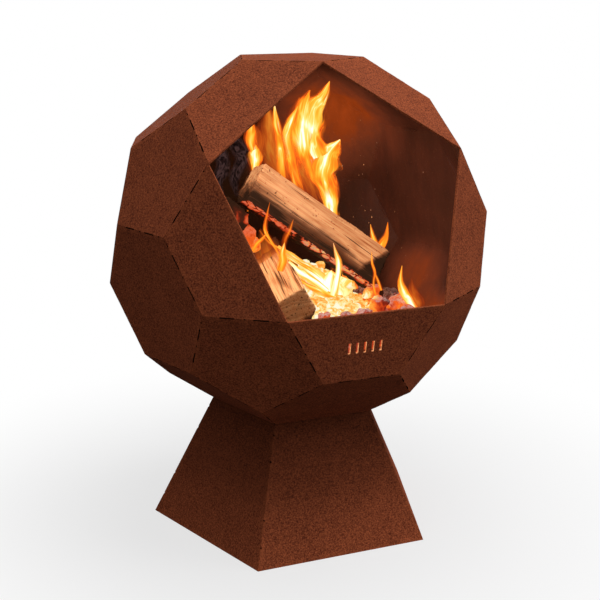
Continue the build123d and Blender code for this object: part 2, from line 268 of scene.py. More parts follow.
@effect("Rust skin", {"Dark": "colour", "Light": "colour", "Worn": "colour", "Edge": "float"},
        {"Color": "colour", "Roughness": "float", "Height": "float"})
def rust_skin(g, dark, light, worn, edge):
    """Speckled rust with broad patches, and a paler wear that breaks up along the edges."""
    place = g.object_place()
    speckle = g.noise(place, 620, 1.5, 0.75)
    grain = g.noise(place, 1100, 1.0)
    patches = g.noise(place, 95, 3.0, 0.6)
    clouds = g.noise(place, 17, 4.0, 0.6)
    fine = g.plus(g.times(speckle, 0.55), g.times(grain, 0.25))
    broad = g.plus(g.times(patches, 0.09), g.times(clouds, 0.08))
    rust = g.span(g.plus(fine, broad), 0.37, 0.61)
    ragged = g.times(edge, g.span(patches, 0.35, 0.7), clamp=True)
    colour = g.mix(g.times(ragged, 0.55), g.mix(rust, dark, light), worn)
    roughness = g.span(speckle, 0.3, 0.7, 0.78, 0.95)
    return colour, roughness, fine


@effect("Firelight", {}, {"Light": "float"})
def firelight(g):
    """How much painted firelight a place gets, from its distance to the fire's hearts."""
    place = g.object_place()
    total = 0.0
    for heart, reach, strength in FIRE_HEARTS:
        apart = g.distance(place, tuple(from_centre(heart)))
        near = g.span(apart, 0.0, reach * MM, strength, 0.0, smooth=True)
        total = g.plus(near, total)
    return (total,)


@effect("Ember skin", {"Heat": "float", "Dust": "float"},
        {"Color": "colour", "Glow": "colour", "Roughness": "float", "Height": "float"})
def ember_skin(g, heat, dust):
    """Charcoal that glows by its heat and is grey with ash where it has dust, with the embers' light painted
    on the hot ash as glow.
    """
    place = g.object_place()
    crumbs = g.noise(place, 260, 3.0, 0.65)
    flecks = g.noise(place, 900, 2.0, 0.6)
    cells = g.add("TexVoronoi", {"Vector": place, "Scale": 118.0}, feature="DISTANCE_TO_EDGE")
    crack = g.span(cells.outputs["Distance"], 0.0, 0.22, 1.0, 0.0)
    ash = g.times(dust, g.span(crumbs, 0.36, 0.58), clamp=True)
    ash_colour = g.mix(flecks, (0.30, 0.26, 0.25, 1), (0.62, 0.57, 0.55, 1))
    coal = g.mix(crumbs, (0.008, 0.006, 0.006, 1), (0.04, 0.026, 0.022, 1))
    colour = g.mix(ash, coal, ash_colour)
    veined = g.times(crack, g.times(g.minus(0.5, heat), 0.42))
    hot = g.times(heat, g.span(crumbs, 0.25, 0.75, 0.82, 1.20))
    hot = g.plus(hot, g.times(veined, g.span(heat, 0.02, 0.2)), clamp=True)
    # Painted light: the embers' light on the ash, painted on as glow where it is hot
    ash_painted_light = g.mix(flecks, (0.20, 0.075, 0.062, 1), (0.66, 0.36, 0.31, 1))
    ash_painted_light = g.mix(g.span(heat, 0.0, 0.35), (0.0, 0.0, 0.0, 1), ash_painted_light)
    glow = g.mix(g.times(ash, 0.92), g.ramp(hot, GLOW_STOPS), ash_painted_light)
    roughness = g.span(crumbs, 0.3, 0.7, 0.75, 1.0)
    return colour, glow, roughness, crumbs


GLOW_STOPS = (
    (0.00, (0.0, 0.0, 0.0)), (0.18, (0.05, 0.003, 0.001)), (0.34, (0.45, 0.030, 0.006)),
    (0.52, (0.95, 0.130, 0.012)), (0.70, (1.0, 0.40, 0.045)), (0.86, (1.0, 0.78, 0.28)),
    (1.0, (1.0, 0.95, 0.72)),
)
FLAME_STOPS = (
    (0.00, (0.50, 0.055, 0.006)), (0.20, (0.85, 0.130, 0.008)), (0.42, (0.95, 0.25, 0.012)),
    (0.60, (1.0, 0.40, 0.036)), (0.78, (1.0, 0.56, 0.14)), (0.92, (1.0, 0.76, 0.42)),
    (1.0, (1.0, 0.90, 0.66)),
)
# Places whose light is painted on the inner walls and the ash, in millimetres from the ball's centre,
# # with their reach and strength
FIRE_HEARTS = (
    ((88, 112, 112), 100, 0.27),
    ((66, 160, 48), 72, 0.16),
    ((166, 49, -68), 60, 0.17),
    ((146, -4, -90), 44, 0.45),
    ((190, 30, 30), 260, 0.050),
)


def material(name):
    """A material with a Principled shader, its graph and the shader."""
    made = bpy.data.materials.new(name)
    made.use_nodes = True
    return made, Graph(made.node_tree), made.node_tree.nodes["Principled BSDF"]


def finish(g, shader, links=None, **constants):
    """Links what varies to the shader, and sets what doesn't on its own sockets."""
    for name, value in (links or {}).items():
        g.tree.links.new(value, shader.inputs[name])
    for name, value in constants.items():
        shader.inputs[name.replace("_", " ")].default_value = value


def rust_on(g, settings, edge):
    """The rust effect in the colours of the settings."""
    return g.group(rust_skin(), dark=(*settings.dark_rust, 1), light=(*settings.light_rust, 1),
                   worn=(*settings.edge_rust, 1), edge=edge)


def rust_material(name, settings, edge=None, painted_shade_to=None):
    """Rusted steel. Given a height, painted shade of the ball darkens it up to that height, and painted light
    makes it palest at the ground.
    """
    made, g, shader = material(name)
    rust = rust_on(g, settings, g.attribute("edge") if edge is None else edge)
    colour = rust.outputs["Color"]
    if painted_shade_to:
        # Painted shade: the ball's shadow over the base, darkest at the top, with painted light near the
        # ground
        height = g.add("SeparateXYZ", {0: g.object_place()}).outputs[2]
        pale = g.span(height, 0.0, 0.5 * painted_shade_to, 1.35, 1.0)
        dark = g.span(height, 0.30 * painted_shade_to, painted_shade_to, 1.0, 0.36)
        tone = g.times(pale, dark)
        colour = g.mix(1.0, colour, g.grey(tone), "MULTIPLY")
    finish(g, shader, {
        "Base Color": colour, "Roughness": rust.outputs["Roughness"],
        "Normal": g.normal(rust.outputs["Height"], 0.4, 0.6 * MM)}, Specular_IOR_Level=0.05)
    return made


def painted_groove_shade_material():
    """Painted shade in the slots along the seams."""
    made, g, shader = material("Seam groove shade")
    flecks = g.noise(g.object_place(), 500, 2.0, 0.6)
    # Painted shade: near-black colour where the seam slots lie in shadow
    groove_painted_shade = g.mix(g.span(flecks, 0.35, 0.65), (0.010, 0.004, 0.003, 1), (0.030, 0.011, 0.006, 1))
    finish(g, shader, {"Base Color": groove_painted_shade}, Roughness=0.95, Specular_IOR_Level=0.0)
    return made


def painted_slot_glow_material():
    """Walls of a slot, with the embers' light painted on them as glow."""
    made, g, shader = material("Lit slot")
    flecks = g.noise(g.object_place(), 500, 2.0, 0.6)
    # Painted light: warm glow on the slot walls where the embers' light would shine on them
    lit = g.mix(g.span(flecks, 0.35, 0.65), (0.42, 0.12, 0.035, 1), (0.95, 0.42, 0.17, 1))
    finish(g, shader, {"Emission Color": lit}, Emission_Strength=1.0,
           Base_Color=(0.2, 0.06, 0.03, 1), Roughness=0.9)
    return made


def sooted_wall_painted_light_material(name, settings, glow):
    """Sooted steel, with the light of the fire in front of it painted on as glow."""
    made, g, shader = material(name)
    place = g.object_place()
    streaks = g.noise(g.stretch(place, (60, 60, 9)), 1.0, 4.0, 0.6)
    clouds = g.noise(place, 14, 4.0, 0.6)
    flecks = g.noise(place, 420, 2.0, 0.6)
    shade = g.span(g.plus(g.times(streaks, 0.5), g.times(clouds, 0.5)), 0.35, 0.65)
    soot = g.mix(shade, (*settings.soot, 1), (0.055, 0.018, 0.009, 1))
    soot = g.mix(g.span(flecks, 0.62, 0.72, 0.0, 0.35), soot, (0.16, 0.075, 0.045, 1))
    # Painted light: the fire's light on the sooted walls and welds, painted on as glow
    light = g.group(firelight()).outputs["Light"]
    patchy = g.times(light, g.span(shade, 0.0, 1.0, 0.6, 1.2))
    hue = g.mix(g.span(patchy, 0.03, 0.22), (1.0, 0.22, 0.105, 1), (1.0, 0.135, 0.016, 1))
    lit = g.mix(1.0, hue, g.grey(patchy), "MULTIPLY")
    finish(g, shader, {"Base Color": soot, "Emission Color": lit,
                       "Roughness": g.span(clouds, 0.3, 0.7, 0.55, 0.8),
                       "Normal": g.normal(flecks, 0.25, 0.4 * MM)}, Emission_Strength=glow)
    return made


# Meshes

# Corners nearer than this are one corner, and faces within this angle are one face
SAME_CORNER = 0.01 * MM
SAME_FACE = math.radians(1)


def merged_node(name):
    """A CAD node's mesh with its loose triangles joined into flat faces."""
    bm = bmesh.new()
    bm.from_mesh(frame["nodes"][name].data)
    bmesh.ops.remove_doubles(bm, verts=bm.verts, dist=SAME_CORNER)
    bmesh.ops.dissolve_limit(bm, angle_limit=SAME_FACE, verts=bm.verts, edges=bm.edges)
    return bm


def outer_face(name, inside):
    """Corners and normal of a flat plate's outer face, with its holes and slots left out."""
    bm = bmesh.new()
    for vertex in frame["nodes"][name].data.vertices:
        bm.verts.new(vertex.co)
    bmesh.ops.remove_doubles(bm, verts=bm.verts, dist=SAME_CORNER)
    bmesh.ops.convex_hull(bm, input=bm.verts)
    bmesh.ops.dissolve_limit(bm, angle_limit=SAME_FACE, verts=bm.verts, edges=bm.edges)
    bmesh.ops.recalc_face_normals(bm, faces=bm.faces)
    face = max(bm.faces, key=lambda f: f.calc_area())
    corners, normal = [v.co.copy() for v in face.verts], face.normal.copy()
    bm.free()
    if normal.dot(corners[0] - inside) < 0:
        normal.negate()
    return corners, normal


def piece(name, bm, materials, node=None, body=None, smooth=None):
    """Turns a bmesh into a piece at the origin that rides on its body."""
    mesh = bpy.data.meshes.new(name)
    bm.to_mesh(mesh)
    bm.free()
    made = bpy.data.objects.new(name, mesh)
    bpy.context.scene.collection.objects.link(made)
    for item in materials:
        mesh.materials.append(item)
    if smooth is not None:
        mesh.shade_smooth()
        mesh.set_sharp_from_angle(angle=math.radians(smooth))
    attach(made, body or body_of(node))
    if node:
        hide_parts(node)
    return made


def finish_node(name, item):
    """Gives a CAD node that stays in view its own material."""
    data = frame["nodes"][name].data
    data.materials.clear()
    data.materials.append(item)


def sides(corners):
    """Each side of an outline as its two corners."""
    return [(corners[i], corners[(i + 1) % len(corners)]) for i in range(len(corners))]


def side_key(a, b):
    """The same key for a seam, whichever plate it is taken from."""
    return frozenset(tuple(round(c / (0.1 * MM)) for c in point) for point in (a, b))


def inward(a, b, normal, corners):
    """Unit vector in the plate's plane, away from a side and into the plate."""
    across = (b - a).cross(normal).normalized()
    middle = sum(corners, Vector()) / len(corners)
    return across if across.dot(middle - a) > 0 else -across


# Ends of two edges that are less than this apart, added up, make them one edge
SAME_EDGE = 0.05 * MM


def nearest_edge(bm, a, b):
    """The straight edge that runs from a to b, if the mesh has it."""
    for edge in bm.edges:
        first, second = [v.co for v in edge.verts]
        apart = [(first - p).length + (second - q).length for p, q in ((a, b), (b, a))]
        if min(apart) < SAME_EDGE:
            return edge
    return None


# Seam slots, from the lower end of a seam, as shares of its length
SEAM_SLOTS = ((0.20, 0.385), (0.485, 0.515), (0.60, 0.79), (0.885, 0.912))
# Share of a seam over which a slot opens to its full depth
SLOT_TAPER = 0.006


def cut_seam_slots(bm, corners, normal, a, b, depth):
    """Cuts the outer edge of one side back in each slot. The plate next to it does the same."""
    low, high = sorted((a, b), key=lambda p: (round(p.z, 4), round(p.x, 4), round(p.y, 4)))
    edge = nearest_edge(bm, low, high)
    if edge is None:
        return
    into = inward(a, b, normal, corners) * depth
    here = min(edge.verts, key=lambda v: (v.co - low).length)
    done = 0.0
    for start, end in SEAM_SLOTS:
        taper = min(SLOT_TAPER, (end - start) / 3)
        for share, moved in ((start, False), (start + taper, True), (end - taper, True), (end, False)):
            _, here_next = bmesh.utils.edge_split(edge, here, (share - done) / (1 - done))
            here_next.co = low + (high - low) * share + (into if moved else Vector())
            far = min(here_next.link_edges, key=lambda e: (e.other_vert(here_next).co - high).length)
            edge, here, done = far, here_next, share


def outline_distance(point, corners, normal):
    """How far a point of a plate lies inside the plate's outline."""
    return min((point - a).dot(inward(a, b, normal, corners)) for a, b in sides(corners))


# Lines cut along a plate's outline to carry the wear, as shares of its width
WEAR_LINES = (0.3, 1.0)


def mark_wear(bm, corners, normal, width):
    """Cuts lines along the outline and stores how worn each vertex is, as the attribute edge."""
    for a, b in sides(corners):
        into = inward(a, b, normal, corners)
        for share in WEAR_LINES:
            everything = bm.verts[:] + bm.edges[:] + bm.faces[:]
            line = a + into * width * share
            bmesh.ops.bisect_plane(bm, geom=everything, dist=0.001 * MM, plane_co=line, plane_no=into)
    edge = bm.verts.layers.float.new("edge")
    for vertex in bm.verts:
        vertex[edge] = max(0.0, 1.0 - outline_distance(vertex.co, corners, normal) / width)


# Order of a plate's materials, and how far inside its outline a wall of a hole belongs to a vent slot
OUTSIDE, INSIDE, CUT_EDGE, VENT_SLOT, SEAM_GROOVE = range(5)
VENT_MARGIN = 8 * MM


def sort_faces(bm, corners, normal, seams):
    """Gives each face of a plate its material."""
    for face in bm.faces:
        facing, place = face.normal.dot(normal), face.calc_center_median()
        face.material_index = OUTSIDE if facing > 0.75 else INSIDE if facing < -0.9 else CUT_EDGE
        near = min(sides(corners), key=lambda side: (place - side[0]).dot(inward(*side, normal, corners)))
        if abs(facing) < 0.1 and outline_distance(place, corners, normal) > VENT_MARGIN:
            face.material_index = VENT_SLOT
        elif face.material_index == CUT_EDGE and side_key(*near) in seams:
            face.material_index = SEAM_GROOVE


def bevel(bm, edges, width, segments=2):
    """Rounds edges of a mesh to that width."""
    bmesh.ops.bevel(bm, geom=edges, offset=width, offset_type="OFFSET", segments=segments, profile=0.5,
                    affect="EDGES", material=-1, clamp_overlap=False)


# What is nearer than this to a plate's face or outline lies on it
ON_PLATE = 0.02 * MM


def dressed_plate(name, corners, normal, seams, settings):
    """A plate of the ball with rounded edges and the slots along its seams."""
    bm = merged_node(name)
    for a, b in sides(corners):
        if side_key(a, b) in seams:
            cut_seam_slots(bm, corners, normal, a, b, settings.slot_depth)
    rim = []
    for edge in bm.edges:
        middle = (edge.verts[0].co + edge.verts[1].co) / 2
        on_face = all(abs((v.co - corners[0]).dot(normal)) < ON_PLATE for v in edge.verts)
        if on_face and abs(outline_distance(middle, corners, normal)) < ON_PLATE:
            rim.append(edge)
    bevel(bm, rim, settings.edge_round)
    mark_wear(bm, corners, normal, settings.wear_width)
    bm.normal_update()
    sort_faces(bm, corners, normal, seams)
    return bm


class BRAZIER_OT_ball(bpy.types.Operator):
    """Dresses the ball's plates, outside and inside."""
    bl_idname = "brazier.ball"
    bl_label = "Ball plates"

    def execute(self, context):
        settings = context.scene.brazier_steel
        outside = rust_material("Rusted plate", settings)
        inside = sooted_wall_painted_light_material("Sooted wall", settings, context.scene.brazier_fire.wall_glow)
        cut = rust_material("Cut edge", settings)
        lit = painted_slot_glow_material()
        groove = painted_groove_shade_material()
        faces = {name: outer_face(name, ball_centre) for name in ball_plates}
        owners = {}
        for corners, _ in faces.values():
            for a, b in sides(corners):
                owners[side_key(a, b)] = owners.get(side_key(a, b), 0) + 1
        seams = {key for key, count in owners.items() if count == 2}
        for name, (corners, normal) in faces.items():
            bm = dressed_plate(name, corners, normal, seams, settings)
            piece(name + "_sheet", bm, [outside, inside, cut, lit, groove], node=name)
        return {"FINISHED"}


class BRAZIER_OT_base(bpy.types.Operator):
    """Dresses the base's wall panels and its floor."""
    bl_idname = "brazier.base"
    bl_label = "Base"

    def execute(self, context):
        settings = context.scene.brazier_steel
        # The panels get the ball's painted shade over their top
        outside = rust_material("Rusted panel with painted shade", settings, painted_shade_to=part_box("base_panel_front")[1].z)
        middle = Vector((0, 0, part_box("base_floor")[0].z))
        for name in base_panels:
            corners, normal = outer_face(name, middle)
            bm = merged_node(name)
            mark_wear(bm, corners, normal, settings.wear_width)
            piece(name + "_sheet", bm, [outside], node=name)
        finish_node("base_floor", rust_material("Floor plate", settings, edge=0.0))
        return {"FINISHED"}


# Welds, grate and tray

def islands(bm):
    """Separate solids of a mesh, each as a list of vertices."""
    seen, found = set(), []
    for start in bm.verts:
        if start in seen:
            continue
        seen.add(start)
        group = [start]
        for vertex in group:
            others = [edge.other_vert(vertex) for edge in vertex.link_edges]
            fresh = [other for other in others if other not in seen]
            seen.update(fresh)
            group += fresh
        found.append(group)
    return found


def bridge_rings(bm, rings):
    """Joins rings of vertices to one another and closes both ends."""
    loops = [list(dict.fromkeys(e for v in ring for e in v.link_edges)) for ring in rings]
    for low, high in zip(loops, loops[1:]):
        bmesh.ops.bridge_loops(bm, edges=low + high)
    for ring in (rings[0], rings[-1]):
        bmesh.ops.contextual_create(bm, geom=ring)


def weld_beads(node, share):
    """A rippled bead along each stitch weld of a node, inside the plain fillet it stands for."""
    plain = merged_node(node)
    bm = bmesh.new()
    for group in islands(plain):
        edges = list(dict.fromkeys(e for v in group for e in v.link_edges))
        longest = max(edges, key=lambda e: e.calc_length())
        along = (longest.verts[1].co - longest.verts[0].co).normalized()
        middle = sum((v.co for v in group), Vector()) / len(group)
        length = longest.calc_length()
        crossing = [e for e in edges if abs(along.dot(e.verts[1].co - e.verts[0].co)) < 0.1 * MM]
        radius = share * max(e.calc_length() for e in crossing)
        turn = along.to_track_quat("Z", "Y").to_matrix().to_4x4()
        rings = []
        for i in range(BEAD_STATIONS + 1):
            at = i / BEAD_STATIONS
            taper = 0.45 + 0.55 * math.sin(math.pi * at) ** 0.4 if 0 < i < BEAD_STATIONS else 0.4
            size = radius * taper * (1 + BEAD_RIPPLE * (-1) ** i)
            place = middle + along * length * (at - 0.5) * BEAD_LENGTH
            matrix = Matrix.Translation(place) @ turn
            rings.append(bmesh.ops.create_circle(bm, segments=8, radius=size, matrix=matrix)["verts"])
        bridge_rings(bm, rings)
    plain.free()
    bmesh.ops.recalc_face_normals(bm, faces=bm.faces)
    return bm


# Rings along one weld bead, how much they swell and shrink, and its length as a share of the fillet's
BEAD_STATIONS = 10
BEAD_RIPPLE = 0.14
BEAD_LENGTH = 0.98


def beveled_node(name, width):
    """A CAD node's mesh with its sharp edges rounded."""
    bm = merged_node(name)
    sharp = [e for e in bm.edges if len(e.link_faces) == 2 and e.calc_face_angle() > math.radians(35)]
    bevel(bm, sharp, width, segments=1)
    return bm


class BRAZIER_OT_welds(bpy.types.Operator):
    """Weld beads inside the ball's seams and the base's corners."""
    bl_idname = "brazier.welds"
    bl_label = "Weld beads"

    def execute(self, context):
        settings = context.scene.brazier_steel
        glow = context.scene.brazier_fire.wall_glow
        for node, item in (
            # The inner weld beads get the walls' painted firelight
            ("ball_stitch_welds", sooted_wall_painted_light_material("Sooted weld", settings, glow)),
            ("base_stitch_welds", rust_material("Rusted weld", settings, edge=0.0)),
        ):
            piece(node.replace("stitch", "bead"), weld_beads(node, 0.24), [item], node=node, smooth=50)
        return {"FINISHED"}


def scale_material(name, settings, share):
    """Steel gone blue-grey and brown from heat, with rust coming through in patches."""
    made, g, shader = material(name)
    place = g.object_place()
    rust = rust_on(g, settings, 0.0)
    patches = g.span(g.noise(place, 38, 4.0, 0.65), 0.62 - 0.3 * share, 0.74 - 0.3 * share)
    grey = g.mix(g.noise(place, 160, 3.0, 0.6), (0.035, 0.032, 0.033, 1), (0.10, 0.092, 0.09, 1))
    finish(g, shader, {
        "Base Color": g.mix(patches, grey, rust.outputs["Color"]),
        "Roughness": g.span(patches, 0, 1, 0.5, 0.9),
        "Normal": g.normal(rust.outputs["Height"], 0.3, 0.4 * MM)}, Metallic=0.2)
    return made


class BRAZIER_OT_grate(bpy.types.Operator):
    """The fire grate with rounded slots and a burnt finish."""
    bl_idname = "brazier.grate"
    bl_label = "Fire grate"

    def execute(self, context):
        item = scale_material("Burnt grate", context.scene.brazier_steel, 0.55)
        piece("grate_plate", beveled_node("fire_grate", 0.4 * MM), [item], node="fire_grate")
        return {"FINISHED"}


class BRAZIER_OT_tray(bpy.types.Operator):
    """The ash tray with rounded edges."""
    bl_idname = "brazier.tray"
    bl_label = "Ash tray"

    def execute(self, context):
        item = scale_material("Tray steel", context.scene.brazier_steel, 0.2)
        piece("ash_pan", beveled_node("ash_tray", 0.4 * MM), [item], node="ash_tray")
        return {"FINISHED"}


# Hearth

def voxel_copy(bm, size):
    """The same solid made of even faces of about that size."""
    mesh = bpy.data.meshes.new("voxels")
    bm.to_mesh(mesh)
    bm.free()
    holder = bpy.data.objects.new("voxels", mesh)
    bpy.context.scene.collection.objects.link(holder)
    modifier = holder.modifiers.new("voxels", "REMESH")
    modifier.mode, modifier.voxel_size = "VOXEL", size
    made = bmesh.new()
    made.from_object(holder, bpy.context.evaluated_depsgraph_get())
    bpy.data.objects.remove(holder)
    bpy.data.meshes.remove(mesh)
    made.normal_update()
    return made


def smooth_step(value, low, high):
    """0 at low and 1 at high, with a soft start and end."""
    share = min(1.0, max(0.0, (value - low) / (high - low)))
    return share * share * (3 - 2 * share)


def shift_vertices(bm, moves):
    """Moves each vertex by its own move, once all moves are worked out."""
    for vertex, move in zip(bm.verts, moves):
        vertex.co += move


def coal_layers(bm):
    """The attributes that hold a coal's heat and its dust of ash."""
    return bm.verts.layers.float.new("ember"), bm.verts.layers.float.new("dust")


def uneven(point, size, seed=0.0):
    """Smooth noise from -1 to 1 whose bumps are about that size."""
    return noise.noise(point / size + Vector((seed, seed * 0.7, -seed)))


def cell_crack(point, size):
    """0 in the crack between two cells of about that size, rising to 1 inside a cell."""
    near = noise.voronoi(point / size)[0]
    return min(1.0, (near[1] - near[0]) * 2.2)


def painted_fuel_light(point, normal):
    """Painted light of the fire and of the mouth on a surface of the fuel."""
    total = PAINTED_LIGHT_FLOOR
    for place, strength in FUEL_LIGHTS:
        way = (from_centre(place) - point).normalized()
        total += strength * max(0.0, normal.dot(way))
    return total


# Places whose light is painted on the fuel, in millimetres from the ball's centre, with their strength,
# # and the painted light that shaded sides still get
FUEL_LIGHTS = (
    ((-40, -150, 190), 1.28), ((60, -30, -66), 0.30), ((80, 90, 80), 0.5), ((-170, 20, 150), 0.55),
)
PAINTED_LIGHT_FLOOR = 0.16


def log_frame(name, towards):
    """A log's own frame: Z along it, Y out of its split face, X across that face, and its length."""
    bm = merged_node(name)
    ends = [v.co.copy() for v in max(bm.edges, key=lambda e: e.calc_length()).verts]
    along = (ends[1] - ends[0]).normalized()
    if along.dot(Vector(towards)) < 0:
        along.negate()
    face = max(bm.faces, key=lambda f: f.calc_area()).normal.copy()
    axes = Matrix((face.cross(along), face, along))
    spans = [[(axes @ v.co)[i] for v in bm.verts] for i in range(3)]
    bm.free()
    origin = Vector(((min(spans[0]) + max(spans[0])) / 2, (min(spans[1]) + max(spans[1])) / 2, min(spans[2])))
    return axes, origin, max(spans[2]) - min(spans[2])


def carve_log(name, towards, burn_at, heat_at, settings, seed):
    """Splinters, cracks and char on a log. Stores its own coordinates, its char, its heat and its painted
    light.
    """
    axes, origin, length = log_frame(name, towards)
    bm = voxel_copy(merged_node(name), settings.log_voxel)
    grain = bm.verts.layers.float_vector.new("grain")
    layers = [bm.verts.layers.float.new(layer) for layer in ("burn", "ember", "fuel_painted_light")]
    moves = []
    for vertex in bm.verts:
        local = axes @ vertex.co - origin
        burn = burn_at(local, length)
        fibre = Vector((local.x, local.y, local.z * FIBRE_STRETCH))
        splinter = abs(uneven(fibre, 4 * MM, seed)) * 0.8 * MM
        splinter += abs(uneven(fibre, 12 * MM, seed)) * 1.8 * MM
        block = Vector((local.x, local.y, local.z * 0.55))
        crack = (1 - cell_crack(block + Vector((seed, 0, 0)) * MM, 8 * MM)) * 1.8 * MM * burn
        end = smooth_step(min(local.z, length - local.z), 2.5 * MM, 0.0)
        rough_end = abs(uneven(local, 4 * MM, seed)) * 0.7 * MM * end
        bite = burn * (0.3 + 0.5 * abs(uneven(local, 12 * MM, seed + 3))) * 1.8 * MM
        moves.append(vertex.normal * -(splinter * (1 - end) + crack + rough_end + bite))
        vertex[grain] = local
        values = (burn, heat_at(local, length, burn), painted_fuel_light(vertex.co, vertex.normal))
        for layer, value in zip(layers, values):
            vertex[layer] = value
    shift_vertices(bm, moves)
    return bm


# How much longer than wide the bumps along a log's fibres are
FIBRE_STRETCH = 0.09


def upper_log_burn(local, length):
    """Scorched below a wavy line along the split face, black along its lower edge and at its tip."""
    x, y, z = local.x / MM, local.y / MM, local.z / MM
    wave = 5 * uneven(Vector((0, local.y, local.z)), 40 * MM, 2) + 2 * uneven(local, 9 * MM, 5)
    scorched = 0.54 * smooth_step(-x + wave, -9 + 0.05 * z, 5 + 0.05 * z)
    black = smooth_step(-x + wave, 4 + 0.03 * z, 16 + 0.02 * z)
    tip = smooth_step(z - length / MM + 26 - 0.8 * x + wave, 0, 14)
    back = 0.8 * smooth_step(-y, 6, 14)
    return min(1.0, max(scorched + 0.4 * black, tip, back))


def upper_log_heat(local, length, burn):
    """Glowing blocks along the lower front edge, brightest over the middle of the embers."""
    x, y, z = local.x / MM, local.y / MM, local.z / MM
    below = smooth_step(-x, 19.5, 22.5)
    front = smooth_step(y, -3, 8)
    block = cell_crack(Vector((local.x * 0.2, local.y, local.z)), 13 * MM)
    patchy = 0.50 + 0.25 * uneven(local, 22 * MM, 8) + 0.20 * smooth_step(z, 30, 90)
    return max(0.0, below * front * patchy * smooth_step(block, 0.05, 0.3))


def lower_log_burn(local, length):
    """Charred on the side that faces the fire and towards the far end."""
    x, y, z = local.x / MM, local.y / MM, local.z / MM
    wave = 4 * uneven(Vector((local.x, local.y, local.z * 0.4)), 16 * MM, 4)
    side = smooth_step(abs(x) + wave, 17, 23) * smooth_step(z, 10, 40)
    under = smooth_step(-y + wave, 8, 18)
    far = smooth_step(z - length / MM + 60 + 2 * wave, 0, 40)
    end = 0.15 * smooth_step(z, 5, 0)
    return min(1.0, max(0.8 * side, 0.9 * under, far, end))


def lower_log_heat(local, length, burn):
    """Glowing along its underside, in patches."""
    patchy = 0.5 + 0.6 * uneven(local, 12 * MM, 9)
    return max(0.0, smooth_step(-local.y / MM, 10, 19) * patchy * smooth_step(local.z / MM, 8, 30))


def charred_log_burn(local, length):
    """Charred all over."""
    return 1.0


def charred_log_heat(local, length, burn):
    """Red-hot in patches near its foot."""
    patchy = smooth_step(uneven(local, 13 * MM, 11) + 0.35 * uneven(local, 6 * MM, 2), -0.35, 0.2)
    return 0.66 * patchy * smooth_step(local.z / MM, 130, 90)


@effect("Split wood", {"Pale": "colour", "Grain": "colour", "Char": "colour", "Burn": "float"},
        {"Color": "colour", "Roughness": "float", "Height": "float"})
def split_wood(g, pale, grain, char, burn):
    """Growth rings round a pith beside the log, fibres along it, and char over them."""
    local = g.attribute("grain", "Vector")
    parts = g.add("SeparateXYZ", {0: local}).outputs
    cross = g.add("CombineXYZ", {0: parts[0], 1: parts[1], 2: 0.0}).outputs[0]
    from_pith = g.distance(cross, PITH_PLACE)
    swell = g.times(g.noise(g.stretch(local, (30, 30, 9)), 1.0, 2.0), 0.012)
    ring_place = g.add("CombineXYZ", {
        0: g.plus(from_pith, swell), 1: 0.0, 2: g.times(parts[2], 0.02)}).outputs[0]
    rings = g.noise(ring_place, 330, 3.0, 0.6)
    fibres = g.noise(g.stretch(local, (1.0, 1.0, 0.03)), 780, 2.0, 0.65)
    bands = g.noise(g.stretch(local, (1.0, 1.0, 0.06)), 110, 2.5, 0.6)
    splits = g.noise(g.stretch(local, (1.0, 1.0, 0.03)), 330, 1.5, 0.55)
    knots = g.noise(local, 420, 1.0)
    tone = g.plus(g.times(rings, 0.4), g.times(bands, 0.25))
    tone = g.plus(tone, g.times(fibres, 0.35))
    wood = g.mix(g.span(tone, 0.41, 0.55, 1.0, 0.0), pale, grain)
    wood = g.mix(g.span(splits, 0.60, 0.68, 0.0, 0.85), wood, (0.05, 0.016, 0.007, 1))
    wood = g.mix(g.span(knots, 0.70, 0.74, 0.0, 0.8), wood, (0.06, 0.02, 0.01, 1))
    uneasy = g.times(g.minus(bands, 0.5), 1.3)
    uneasy = g.plus(uneasy, g.times(g.minus(fibres, 0.5), 0.9))
    uneasy = g.times(uneasy, g.span(burn, 0.0, 0.25, 0.4, 1.0))
    streaked = g.plus(burn, uneasy, clamp=True)
    brown = g.mix(1.0, wood, (0.30, 0.25, 0.26, 1), "MULTIPLY")
    toasted = g.mix(g.span(streaked, 0.12, 0.50), wood, brown)
    colour = g.mix(g.span(streaked, 0.48, 0.88), toasted, char)
    roughness = g.span(fibres, 0.3, 0.7, 0.7, 0.92)
    height = g.plus(g.times(rings, 0.4), g.times(fibres, 0.6))
    return colour, roughness, height


PITH_PLACE = (0.012, -0.055, 0.0)


def wood_painted_light_material(name, settings, pale):
    """Wood that chars and glows where it has heat, with the light of the fire and the mouth painted on as
    glow.
    """
    made, g, shader = material(name)
    burn, heat, fuel_painted_light = g.attribute("burn"), g.attribute("ember"), g.attribute("fuel_painted_light")
    wood = g.group(split_wood(), pale=(*pale, 1), grain=(*settings.dark_grain, 1),
                   char=(*settings.char, 1), burn=burn)
    ember = g.group(ember_skin(), heat=heat, dust=g.span(heat, 0.3, 0.6, 0.0, 0.75))
    # Painted light: the fire's and the mouth's light on the wood, painted on as glow
    green = g.times(fuel_painted_light, g.span(fuel_painted_light, 0.2, 0.9, 0.46, 0.69))
    blue = g.times(fuel_painted_light, g.span(fuel_painted_light, 0.2, 0.9, 0.22, 0.50))
    painted_warm_light = g.add("CombineColor", {0: fuel_painted_light, 1: green, 2: blue})
    lit = g.mix(1.0, wood.outputs["Color"], painted_warm_light.outputs[0], "MULTIPLY")
    glow = g.mix(1.0, lit, ember.outputs["Glow"], "ADD")
    finish(g, shader, {
        "Base Color": wood.outputs["Color"], "Roughness": wood.outputs["Roughness"],
        "Emission Color": glow, "Normal": g.normal(wood.outputs["Height"], 0.5, 0.5 * MM)},
           Emission_Strength=1.0, Specular_IOR_Level=0.06)
    return made


